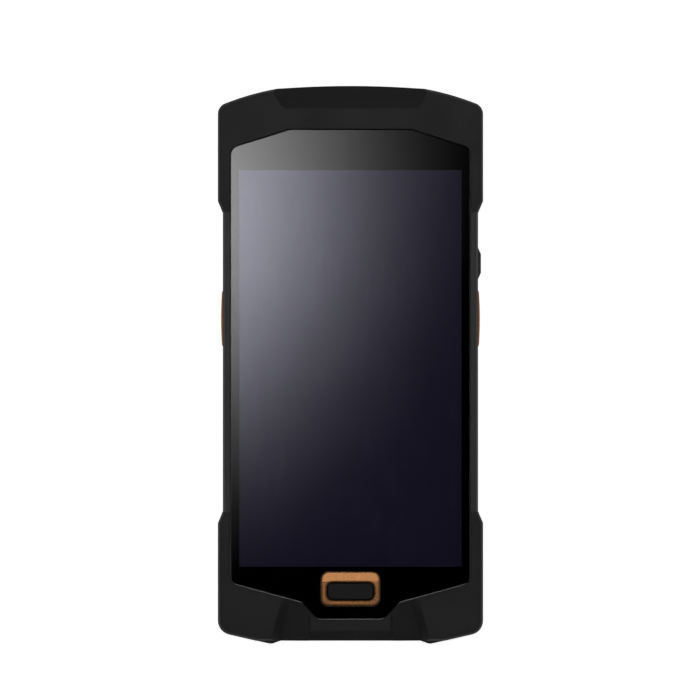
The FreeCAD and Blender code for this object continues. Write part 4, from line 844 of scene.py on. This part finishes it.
class TERMINAL_OT_inside(bpy.types.Operator):
    """Finish the boards, the metal plates and the modules that keep their solid shape"""

    bl_idname = "terminal.inside"
    bl_label = "Inside"

    def execute(self, context):
        board = varnished_board("Board varnish", context.scene.terminal_colours.board)
        dress("main_board home_key_board left_key_board right_key_board", board)
        for name, material in (
            ("chassis_plate", metal("Stamped alloy", (0.66, 0.67, 0.68), 0.38)),
            ("shield_cans", pierced("Shield steel", grey(0.60), 0.28)),
            ("vibration_motor", metal("Motor steel", grey(0.60), 0.28)),
            ("card_reader", moulded("Reader plastic", grey(0.012), 0.45)),
            ("card_contacts", metal("Contact gold", GOLD, 0.25)),
            ("ferrite_sheet", moulded("Ferrite", (0.03, 0.03, 0.032), 0.6)),
            ("speaker_mesh", moulded("Speaker mesh", grey(0.01), 0.7, 2400.0, 0.1 * MM)),
        ):
            dress(name, material)
        return {"FINISHED"}


# Screws


def thread(radius, core, low, high, pitch):
    """A ridge that winds round the Z axis from low to high, between the core and the full radius."""
    start()
    size, quarter = (radius - core) / 1.5, math.pi / 2
    bpy.ops.mesh.primitive_circle_add(
        vertices=3, radius=size, location=(core + size / 2, 0.0, low), rotation=(quarter, quarter, 0.0)
    )
    made, turns = named("thread"), int((high - low) / pitch)
    winding = {"steps": 16, "render_steps": 16, "screw_offset": pitch, "iterations": turns}
    pick_all(change(made, "SCREW", **winding, use_merge_vertices=True))
    bpy.ops.mesh.fill_holes(sides=3)
    bpy.ops.mesh.select_all(action="SELECT")
    bpy.ops.mesh.normals_make_consistent(inside=False)
    leave_edit()
    return made


def screw(name, head_radius, head_height, radius, length):
    """A screw on the Z axis, its head's face at the origin looking down and its shank going up."""
    sides, core, tip, taper = 24, radius * 0.76, radius * 0.8, 0.55
    rim, recess_depth, pitch = head_radius * 0.42, head_height * 0.6, radius * 0.62
    made = rod(name, (0.0, 0.0, head_height / 2), head_radius, head_height, sides=sides)
    steps(made, UP, ((head_radius - core) / MM, (length - head_height - tip) / MM), (0.0, tip / MM))
    pick(made, outermost(made, UP))
    bpy.ops.transform.resize(value=(taper, taper, 1.0))
    pick(made, outermost(made, DOWN))
    bpy.ops.mesh.inset(thickness=rim, depth=0.0)
    leave_edit()
    # The recess has six lobes: every fourth point of its circle stays out, and those between come in.
    for point in made.data.vertices:
        reach = point.co.xy.length
        if point.co.z < head_height / 4 and reach < head_radius * 0.9:
            step = round(math.atan2(point.co.y, point.co.x) / math.tau * sides) % 4
            lobe = (1.0, 0.88, 0.76, 0.88)[step]
            point.co.x, point.co.y = point.co.x * lobe, point.co.y * lobe
    pick(made, lambda centre, normal: normal.z < -0.99 and centre.xy.length < head_radius * 0.1)
    push(UP, recess_depth)
    leave_edit()
    soften(made, head_height * 0.08 / MM)
    return join(name, [made, thread(radius, core, head_height * 1.5, length - 2 * tip, pitch)])


class TERMINAL_OT_screws(bpy.types.Operator):
    """Model the four long housing screws and the four board screws"""

    bl_idname = "terminal.screws"
    bl_label = "Screws"

    def execute(self, context):
        steel = metal("Screw steel", (0.30, 0.30, 0.31), 0.32, 2600.0, 0.002 * MM)
        low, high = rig.box("housing_screws")
        head = 1.7 * MM
        made = screw("housing_screw_set", head, 1.1 * MM, 0.95 * MM, high.z - low.z)
        made = copies(made, corners(low, high, head, low.z))
        finish_piece(made, steel, "screw_steel", "housing_screws")
        low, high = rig.box("board_screws")
        head = 1.5 * MM
        made = screw("board_screw_set", head, 0.7 * MM, 0.75 * MM, high.z - low.z)
        turned = Matrix.Rotation(math.pi, 4, "X")
        places = corners(low, high, head, high.z)
        made = copies(made, [Matrix.Translation(place) @ turned for place in places])
        finish_piece(made, steel, "screw_steel", "board_screws")
        return {"FINISHED"}


# Openings and windows


class TERMINAL_OT_charging_port(bpy.types.Operator):
    """Model the charging socket with its tongue and contacts"""

    bl_idname = "terminal.charging_port"
    bl_label = "Charging socket"

    def execute(self, context):
        low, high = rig.box("usb_connector")
        level = (low.z + high.z) / 2
        shell = round_edges(block("charging_shell", low, high), 1, 1.45, 8)
        steps(shell, TO_BOTTOM_END, (0.30, 0.0), (0.0, 0.6 - (high.y - low.y) / MM))
        steel = metal("Socket steel", grey(0.62), 0.24)
        finish_piece(soften(shell, 0.06), steel, "pressed_steel", "usb_connector")
        half, tall, front, back = 3.3 * MM, 0.35 * MM, low.y + 0.7 * MM, high.y - 0.4 * MM
        tongue = block("charging_tongue", (-half, front, level - tall), (half, back, level + tall))
        steps(tongue, TO_BOTTOM_END, (0.12, 0.12))
        finish_piece(soften(tongue, 0.05), moulded("Socket tongue", grey(0.008), 0.4), "reader_plastic")
        count, pitch, thickness = 12, 0.5 * MM, 0.03 * MM
        strip = block("charging_contacts", (-0.13 * MM, 0.0, 0.0), (0.13 * MM, 3.2 * MM, thickness))
        strip = copies(soften(strip, 0.01, 1), [
            Vector((pitch * (number - (count - 1) / 2), front + 0.3 * MM, level + height))
            for number in range(count)
            for height in (tall, -tall - thickness)
        ])
        finish_piece(strip, metal("Socket gold", GOLD, 0.22), "contact_gold")
        return {"FINISHED"}


class TERMINAL_OT_camera(bpy.types.Operator):
    """Model the camera with its lens, its pane and the pane's printed ring"""

    bl_idname = "terminal.camera"
    bl_label = "Camera"

    def execute(self, context):
        low, high, middle, radius = round_box("camera_window")
        pane = soften(rod("camera_pane", middle, radius, high.z - low.z, sides=96), 0.12)
        finish_piece(pane, clear_glass("Camera pane", (0.97, 0.98, 1.0)), "dark_glass", "camera_window")
        sight, place = 2.2 * MM, (middle.x, middle.y, high.z - 0.06 * MM)
        ring = rod("camera_pane_ring", place, radius - 0.15 * MM, 0.05 * MM, sides=96)
        steps(ring, DOWN, (radius / MM - 2.35, 0.0), (0.0, 0.03))
        combine(ring, rod("camera_sight", (middle.x, middle.y, high.z), sight, 1.0 * MM, sides=96))
        finish_piece(ring, polished("Pane print", (0.0015, 0.0015, 0.0017), 0.3, 0.2), "dark_glass")
        low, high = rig.box("camera_module")
        seat, barrel_radius, lens_radius = high.z - 3.4 * MM, 2.7 * MM, 1.42 * MM
        case = round_edges(block("camera_case", (low.x, low.y, seat), high), 2, 0.5)
        place = (middle.x, middle.y, (low.z + seat) / 2)
        barrel = rod("barrel", place, barrel_radius, seat - low.z, sides=64)
        rings = ((0.30, -0.12), (0.22, 0.0), (0.0, -0.12), (0.26, -0.12), (0.26, -0.14), (0.22, -0.2))
        steps(barrel, DOWN, *rings)
        made = join("camera_barrel_case", [soften(case, 0.12), soften(barrel, 0.02, 1)])
        black = moulded("Camera black", (0.006, 0.006, 0.007), 0.35, 6000.0, 0.004 * MM, 0.05 * MM, 0.1, 0.0)
        finish_piece(made, black, "key_plastic", "camera_module")
        place, cut = (middle.x, middle.y, low.z + 1.0 * MM), (0.0, 0.0, low.z + 1.05 * MM)
        lens = dome("camera_lens", place, lens_radius, (1.0, 1.0, 0.45), 48)
        pick(lens, lambda centre, normal: True)
        bpy.ops.mesh.bisect(plane_co=cut, plane_no=UP, use_fill=True, clear_outer=True)
        leave_edit()
        coated = polished("Coated lens", (0.010, 0.008, 0.030), 0.03, 0.9, 0.0)
        finish_piece(smooth(lens), coated, "dark_glass")
        return {"FINISHED"}


class TERMINAL_OT_flash(bpy.types.Operator):
    """Model the flash lens with its rings and the lamp behind it"""

    bl_idname = "terminal.flash"
    bl_label = "Flash"

    def execute(self, context):
        low, high, middle, radius = round_box("flash_lens")
        lens = rod("flash_ring_lens", middle, radius, high.z - low.z, sides=64)
        groove, count = ((0.0, -0.10), (0.14, 0.0), (0.0, 0.10), (0.12, 0.0)), 5
        steps(lens, UP, (0.25, 0.0), *groove * count)
        clear = clear_glass("Flash lens", (0.97, 0.96, 0.90), 0.12, 1.49)
        finish_piece(soften(lens, 0.02, 1), clear, "clear_lens", "flash_lens")
        low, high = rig.box("flash_led")
        case = steps(block("flash_lamp_case", low, high), DOWN, (0.55, -0.25))
        white = moulded("Lamp body", (0.62, 0.61, 0.58), 0.45)
        finish_piece(soften(case, 0.05), white, "reader_plastic", "flash_led")
        reach, bottom, top = Vector((1.1 * MM, 1.1 * MM)), low.z + 0.12 * MM, low.z + 0.3 * MM
        core = block("flash_lamp_face", (*(middle.xy - reach), bottom), (*(middle.xy + reach), top))
        steps(core, DOWN, (0.1, 0.03))
        finish_piece(core, moulded("Lamp yellow", (0.72, 0.55, 0.06), 0.6, 5000.0), "reader_plastic")
        return {"FINISHED"}


class TERMINAL_OT_scanner(bpy.types.Operator):
    """Model the scan engine behind its dark red window"""

    bl_idname = "terminal.scanner"
    bl_label = "Scan engine and window"

    def execute(self, context):
        low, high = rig.box("scan_window")
        pane = soften(round_edges(block("scan_pane", low, high), 1, 0.6))
        finish_piece(pane, clear_glass("Scan pane", (0.30, 0.012, 0.015), 0.02), "dark_glass", "scan_window")
        low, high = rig.box("scan_engine")
        level, front, offset = (low.z + high.z) / 2, high.y - 0.8 * MM, 3.6 * MM
        case = block("case", low, (high.x, front, high.z))
        steps(case, TO_TOP_END, (0.5, 0.0), (0.0, -0.25))
        steps(case, UP, (0.9, -0.15))
        parts = [soften(round_edges(case, 1, 0.4, 2), 0.06)]
        for side, radius, moves in (
            (-1, 2.1, ((0.3, -0.2), (0.25, -0.2), (0.25, -0.3))),
            (1, 1.5, ((0.25, -0.4),)),
        ):
            barrel = rod("barrel", (side * offset, front, level), radius * MM, 1.6 * MM, "Y", 48)
            parts.append(soften(steps(barrel, TO_TOP_END, *moves), 0.03))
        black = moulded("Engine black", (0.010, 0.010, 0.011), 0.4)
        finish_piece(join("scan_engine_case", parts), black, "key_plastic", "scan_engine")
        lenses = []
        for side, radius in ((-1, 1.25), (1, 1.2)):
            place = (side * offset, front + 0.15 * MM, level)
            lens = dome("lens", place, radius * MM, (1.0, 0.35, 1.0), 32)
            lenses.append(smooth(lens, math.radians(60.0)))
        coated = polished("Engine lens", (0.02, 0.015, 0.03), 0.04, 0.8, 0.0)
        finish_piece(join("engine_lenses", lenses), coated, "dark_glass")
        return {"FINISHED"}


# Battery, board and modules


class TERMINAL_OT_battery(bpy.types.Operator):
    """Model the battery with its end cap and terminals, and the sprung contacts that meet them"""

    bl_idname = "terminal.battery"
    bl_label = "Battery and contacts"

    def execute(self, context):
        low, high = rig.box("battery_pack")
        cap_depth, pitch, level = 4.0 * MM, 4.0 * MM, 4.6 * MM
        seam, end = high.y - cap_depth, high.y - 0.05 * MM
        sleeve = round_edges(block("battery_sleeve", low, (high.x, seam, high.z)), 1, 1.3, 6)
        for direction in (DOWN, UP):
            steps(sleeve, direction, (1.6, 0.0), (0.5, -0.12))
        colour = context.scene.terminal_colours.cell_sleeve
        film = moulded("Battery sleeve", colour, 0.28, 420.0, 0.03 * MM, 0.3 * MM, 0.1, 0.1)
        finish_piece(soften(sleeve, 0.15), film, "cell_film", "battery_pack")
        cap = block("battery_end_cap", (low.x, seam, low.z), (high.x, end, high.z))
        steps(round_edges(cap, 1, 1.3, 6), TO_TOP_END, (0.8, -0.12))
        finish_piece(soften(cap, 0.2), moulded("Battery end", grey(0.010), 0.42), "cell_film")
        places = [Vector((number * pitch, 0.0, 0.0)) for number in (-1, 0, 1)]
        gold = metal("Battery gold", GOLD, 0.24)
        pad = block(
            "battery_terminals",
            (-1.1 * MM, high.y - 0.5 * MM, level - 1.5 * MM),
            (1.1 * MM, high.y, level + 1.5 * MM),
        )
        steps(pad, TO_TOP_END, (0.2, -0.03))
        finish_piece(copies(soften(pad, 0.06), places), gold, "contact_gold")
        low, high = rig.box("battery_contacts")
        front = high.y - 3.2 * MM
        case = steps(block("contact_block", (low.x, front, low.z), high), TO_BOTTOM_END, (0.7, -0.5))
        black = moulded("Contact block", grey(0.012), 0.45)
        finish_piece(soften(case, 0.12), black, "key_plastic", "battery_contacts")
        leaf = block(
            "contact_springs",
            (-0.7 * MM, front - 0.1 * MM, level - 0.12 * MM),
            (0.7 * MM, front + 1.0 * MM, level + 0.12 * MM),
        )
        pick(leaf, outermost(leaf, TO_BOTTOM_END))
        for across, up in ((-0.7, 0.35), (-0.6, 0.22), (-0.5, 0.02), (-0.5, -0.25), (-0.3, -0.45)):
            push((0.0, across, up), MM)
        leave_edit()
        tip = min(point.co.y for point in leaf.data.vertices)
        leaf.data.transform(Matrix.Translation((0.0, low.y - tip, 0.0)))
        finish_piece(copies(soften(leaf, 0.03), places), gold, "contact_gold")
        return {"FINISHED"}


# In millimetres: the middle in X and Y, then the width, the depth and the height.
CHIPS = (
    (11.5, -26.0, 9.0, 9.0, 0.9),
    (22.0, -28.0, 5.0, 5.0, 0.8),
    (10.0, -11.0, 6.0, 6.0, 0.8),
    (21.0, -13.0, 8.0, 6.0, 0.9),
    (9.0, 44.0, 5.0, 4.0, 0.7),
    (-15.0, -46.0, 6.0, 4.0, 0.8),
)
PLUGS = ((17.0, 27.0), (17.0, 34.0), (12.0, -38.0))
# In millimetres: the first part's place in X and Y, then how many along X and along Y.
SMALL_PARTS = (
    (7.6, -33.5, 8, 2),
    (19.8, -22.5, 4, 3),
    (7.0, -18.5, 9, 1),
    (15.2, -12.5, 1, 4),
    (6.5, 23.0, 3, 6),
    (8.2, 38.5, 8, 2),
    (-20.0, -41.0, 6, 2),
)


class TERMINAL_OT_board_parts(bpy.types.Operator):
    """Model the chips, plugs and small parts that stand on the main board"""

    bl_idname = "terminal.board_parts"
    bl_label = "Parts on the board"

    def execute(self, context):
        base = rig.box("main_board")[1].z

        def lump(name, x, y, half_x, half_y, tall):
            """A box on the board, by its middle, half sizes and height in millimetres."""
            low = ((x - half_x) * MM, (y - half_y) * MM, base)
            return block(name, low, ((x + half_x) * MM, (y + half_y) * MM, base + tall * MM))

        chips = []
        for x, y, wide, deep, tall in CHIPS:
            chip = steps(lump("chip", x, y, wide / 2, deep / 2, tall), UP, (0.25, 0.03))
            place = ((x - wide / 2 + 0.9) * MM, (y + deep / 2 - 0.9) * MM, base + tall * MM)
            dot = rod("dot", place, 0.3 * MM, 0.1 * MM, sides=16)
            chips += [soften(chip, 0.05, 1), soften(dot, 0.02, 1)]
        resin = moulded("Chip resin", (0.010, 0.010, 0.011), 0.5, 4200.0)
        finish_piece(join("board_chips", chips), resin, "key_plastic")
        plugs, pins, count, pitch = [], [], 18, 0.5
        for x, y in PLUGS:
            plug = steps(lump("plug", x, y, 5.0, 1.3, 1.0), UP, (0.45, -0.6), (0.35, 0.0), (0.0, 0.4))
            plugs.append(soften(plug, 0.05, 1))
            first = x - pitch * (count - 1) / 2
            for side in (-1, 1):
                pin = steps(lump("pin", 0.0, 0.0, 0.1, 0.3, 0.25), UP, (0.03, 0.03))
                row = [spot(first + pitch * number, y + 1.5 * side) for number in range(count)]
                pins.append(copies(pin, row))
        resin = moulded("Plug resin", (0.035, 0.034, 0.030), 0.45)
        finish_piece(join("board_plugs", plugs), resin, "reader_plastic")
        finish_piece(join("board_pins", pins), metal("Pin gold", GOLD, 0.25), "contact_gold")
        body = soften(lump("small_parts", 0.0, 0.0, 0.3, 0.25, 0.45), 0.04, 1)
        end = soften(lump("small_part_ends", 0.4, 0.0, 0.1, 0.26, 0.46), 0.05, 1)
        ends = copies(end, [Matrix.Identity(4), Matrix.Rotation(math.pi, 4, "Z")])
        across, along = 1.5, 1.1
        places = [
            spot(x + across * column, y + along * row)
            for x, y, columns, rows in SMALL_PARTS
            for column in range(columns)
            for row in range(rows)
        ]
        finish_piece(copies(body, places), moulded("Ceramic", (0.30, 0.22, 0.14), 0.45), "reader_plastic")
        finish_piece(copies(ends, places), metal("Solder", (0.68, 0.68, 0.66), 0.3), "pressed_steel")
        return {"FINISHED"}


class TERMINAL_OT_modules(bpy.types.Operator):
    """Model the coil's turns, the speaker, the clock cell, the card socket and the screen's tray"""

    bl_idname = "terminal.modules"
    bl_label = "Modules"

    def execute(self, context):
        low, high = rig.box("nfc_coil")
        film_low = (low.z + high.z) / 2

        def plate(name, margin, bottom, top, corner):
            """A plate with round corners, a margin inside the coil's outline."""
            inset = margin * MM
            made = block(name, (low.x + inset, low.y + inset, bottom), (high.x - inset, high.y - inset, top))
            return round_edges(made, 2, corner, 6)

        def loop(name, margin, wide, bottom, top, corner):
            hole = plate("hole", margin + wide, bottom - MM, top + MM, corner - 0.4)
            return combine(plate(name, margin, bottom, top, corner), hole)

        film = loop("coil_film", 0.0, 3.0, film_low, high.z, 2.0)
        brown = moulded("Coil film", (0.16, 0.055, 0.012), 0.3, 900.0, 0.01 * MM)
        finish_piece(film, brown, "coil_copper", "nfc_coil")
        count, pitch, wide, overlap = 4, 0.68, 0.42, 0.02 * MM
        turns = [
            loop("coil_turns", 0.25 + pitch * number, wide, low.z, film_low + overlap, 1.8)
            for number in range(count)
        ]
        finish_piece(join("coil_turns", turns), metal("Coil copper", (0.75, 0.40, 0.22), 0.3), "coil_copper")
        case = round_edges(block("speaker_case", *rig.box("speaker")), 2, 2.2, 8)
        steps(case, DOWN, (0.5, -0.3), (0.3, 0.0), (0.0, 0.2), (0.3, 0.0), (0.3, -0.25), (0.3, 0.2))
        finish_piece(soften(case, 0.08), moulded("Speaker case", grey(0.012), 0.4), "key_plastic", "speaker")
        low, high, middle, radius = round_box("clock_cell")
        cell = rod("clock_cell_can", middle, radius, high.z - low.z, sides=64)
        steps(cell, UP, (0.9, -0.05))
        steps(cell, DOWN, (0.8, -0.15), (0.3, 0.15))
        steel = metal("Cell steel", (0.70, 0.70, 0.68), 0.22)
        finish_piece(soften(cell, 0.2, 3), steel, "spring_steel", "clock_cell")
        low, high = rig.box("sim_socket")
        cover = steps(block("sim_socket_cover", low, high), TO_RIGHT, (0.28, -0.9 * (high.x - low.x) / MM))
        steps(cover, UP, (2.0, -0.12), (2.2, 0.12))
        steel = metal("Socket cover", grey(0.60), 0.28)
        finish_piece(soften(cover, 0.06), steel, "pressed_steel", "sim_socket")
        tray = steps(block("backlight_tray", *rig.box("display_backlight")), UP, (0.5, -0.2))
        steps(tray, DOWN, (2.5, -0.15))
        steel = metal("Backlight tray", (0.62, 0.63, 0.64), 0.3)
        finish_piece(soften(tray), steel, "pressed_steel", "display_backlight")
        return {"FINISHED"}


# Table, lights and camera


def area_light(name, place, side, power):
    """A rectangular light that looks at the middle of the frame."""
    start()
    aim = (-Vector(place)).to_track_quat("-Z", "Y").to_euler()
    bpy.ops.object.light_add(type="AREA", location=place, rotation=aim)
    lamp = bpy.context.object
    lamp.name = name
    lamp.data.shape = "RECTANGLE"
    lamp.data.size, lamp.data.size_y = side
    lamp.data.energy = power


def table_finish(glow):
    material, tree, shader = new_finish("White table", 0.6)
    tone = spread(tree, noise(tree, 25.0), 0.3, 0.7)
    tree.links.new(blend(tree, tone, grey(0.86), grey(0.90)), shader.inputs["Base Color"])
    shader.inputs["Emission Color"].default_value = (1.0, 1.0, 1.0, 1.0)
    shader.inputs["Emission Strength"].default_value = glow
    return material


def mirrored(value):
    """Where the camera sees a length on the glass mirrored at the lights' level."""
    return value * (1.0 + (LIGHT_LEVEL - FRONT_LEVEL) / (CAMERA_HEIGHT - FRONT_LEVEL))


def card_finish(strength):
    """A soft light that fades evenly from its middle to its edge, longer than it is wide.

    The smooth front of the glass doesn't mirror it. The printed border and the screen just under it do.
    """
    material = bpy.data.materials.new("Soft light")
    material.use_nodes = True
    tree = material.node_tree
    tree.nodes.remove(tree.nodes["Principled BSDF"])
    place = add_node(
        tree,
        "Mapping",
        Location=(*(mirrored(value) for value in SOFT_MIDDLE), 0.0),
        Rotation=(0.0, 0.0, SOFT_TURN),
        Scale=(*(mirrored(value) for value in SOFT_REACH), 1.0),
    )
    place.vector_type = "TEXTURE"
    tree.links.new(object_place(tree), place.inputs["Vector"])
    reach = dot_product(tree, place.outputs[0], place.outputs[0])
    fall = math_node(tree, "EXPONENT", product(tree, reach, -0.5))
    fall = math_node(tree, "SUBTRACT", fall, SOFT_EDGE, True)
    ray = add_node(tree, "LightPath").outputs
    sharp = product(tree, ray["Is Singular Ray"], ray["Is Reflection Ray"])
    kept = product(tree, math_node(tree, "SUBTRACT", 1.0, sharp), strength)
    glow = add_node(tree, "Emission")
    tree.links.new(product(tree, fall, kept), glow.inputs["Strength"])
    tree.links.new(glow.outputs[0], tree.nodes["Material Output"].inputs["Surface"])
    return material


def room_light(brightness):
    """Light from all round that is strongest near the horizon and fades upwards."""
    world = bpy.data.worlds.new("Room")
    world.use_nodes = True
    tree = world.node_tree
    room = tree.nodes["Background"]
    height = axis_value(tree, add_node(tree, "TexCoord").outputs["Generated"], "Z")
    room.inputs["Color"].default_value = (1.0, 1.0, 1.0, 1.0)
    tree.links.new(spread(tree, height, *ROOM_FADE, brightness, 0.0, True), room.inputs["Strength"])
    return world


class TERMINAL_OT_stage(bpy.types.Operator):
    """Set up the white table, the lights and the camera"""

    bl_idname = "terminal.stage"
    bl_label = "Table, lights and camera"

    def execute(self, context):
        scene, settings = context.scene, context.scene.terminal_stage
        start()
        bpy.ops.mesh.primitive_plane_add(size=settings.table_side, location=(0.0, 0.0, TABLE_LEVEL))
        table = named("table")
        table.data.materials.append(table_finish(settings.table_glow))
        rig.stage(table)
        start()
        bpy.ops.mesh.primitive_plane_add(size=SOFT_CARD_SIDE, location=(*PICTURE_CENTRE, LIGHT_LEVEL))
        card = context.object
        card.name = "soft_card"
        card.data.materials.append(card_finish(settings.glass_card))
        card.visible_camera = card.visible_shadow = False
        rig.stage(card)
        for name, side in (("left_light", -1), ("right_light", 1)):
            place = (side * SIDE_LIGHT_OFFSET, 0.0, LIGHT_LEVEL)
            area_light(name, place, SIDE_LIGHT_SIZE, settings.side_power)
        area_light("end_light", END_LIGHT_PLACE, END_LIGHT_SIZE, settings.end_power)
        scene.world = room_light(settings.sky)
        start()
        bpy.ops.object.camera_add(location=(*PICTURE_CENTRE, CAMERA_HEIGHT), rotation=(0.0, 0.0, 0.0))
        camera = context.object
        camera.name = "camera"
        camera.data.lens, camera.data.sensor_width = CAMERA_LENS, SENSOR
        camera.data.clip_start, camera.data.clip_end = CAMERA_CLIP
        scene.camera = camera
        scene.view_settings.view_transform = "Standard"
        scene.view_settings.look = "None"
        return {"FINISHED"}


# Panel and registration


class TERMINAL_PT_panel(bpy.types.Panel):
    """Colours, sizes and steps of the terminal"""

    bl_idname = "TERMINAL_PT_panel"
    bl_label = "Payment terminal"
    bl_space_type = "VIEW_3D"
    bl_region_type = "UI"
    bl_category = "Terminal"

    def draw(self, context):
        layout = self.layout
        for title, (attribute, group) in SETTINGS.items():
            box = layout.box()
            box.label(text=title)
            for name in group.__annotations__:
                box.prop(getattr(context.scene, attribute), name)
        for operator in OPERATORS:
            layout.operator(operator.bl_idname)


SETTINGS = {
    "Colours": ("terminal_colours", TerminalColours),
    "Sizes": ("terminal_sizes", TerminalSizes),
    "Table and lights": ("terminal_stage", TerminalStage),
}
OPERATORS = (
    TERMINAL_OT_stage,
    TERMINAL_OT_shell,
    TERMINAL_OT_screen,
    TERMINAL_OT_keys,
    TERMINAL_OT_inside,
    TERMINAL_OT_screws,
    TERMINAL_OT_charging_port,
    TERMINAL_OT_camera,
    TERMINAL_OT_flash,
    TERMINAL_OT_scanner,
    TERMINAL_OT_battery,
    TERMINAL_OT_board_parts,
    TERMINAL_OT_modules,
)
GROUPS = (grain_group, edge_group, dust_group, smear_group, brush_group)


def register():
    for attribute, group in SETTINGS.values():
        bpy.utils.register_class(group)
        setattr(bpy.types.Scene, attribute, bpy.props.PointerProperty(type=group))
    for operator in OPERATORS:
        bpy.utils.register_class(operator)
    bpy.utils.register_class(TERMINAL_PT_panel)


def unregister():
    bpy.utils.unregister_class(TERMINAL_PT_panel)
    for operator in reversed(OPERATORS):
        bpy.utils.unregister_class(operator)
    for attribute, group in reversed(SETTINGS.values()):
        delattr(bpy.types.Scene, attribute)
        bpy.utils.unregister_class(group)


def main():
    """Runs every step in order and writes the two sizes."""
    register()
    for make_group in GROUPS:
        make_group()
    bpy.ops.terminal.stage()
    bpy.ops.terminal.shell()
    bpy.ops.terminal.screen()
    bpy.ops.terminal.keys()
    bpy.ops.terminal.inside()
    bpy.ops.terminal.screws()
    bpy.ops.terminal.charging_port()
    bpy.ops.terminal.camera()
    bpy.ops.terminal.flash()
    bpy.ops.terminal.scanner()
    bpy.ops.terminal.battery()
    bpy.ops.terminal.board_parts()
    bpy.ops.terminal.modules()
    made_box = [list(corner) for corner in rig.bounds()]
    with open(SIZE_FILE, "w") as file:
        json.dump({"cad": CAD_BOX, "visual": made_box}, file)


if __name__ == "__main__":
    main()
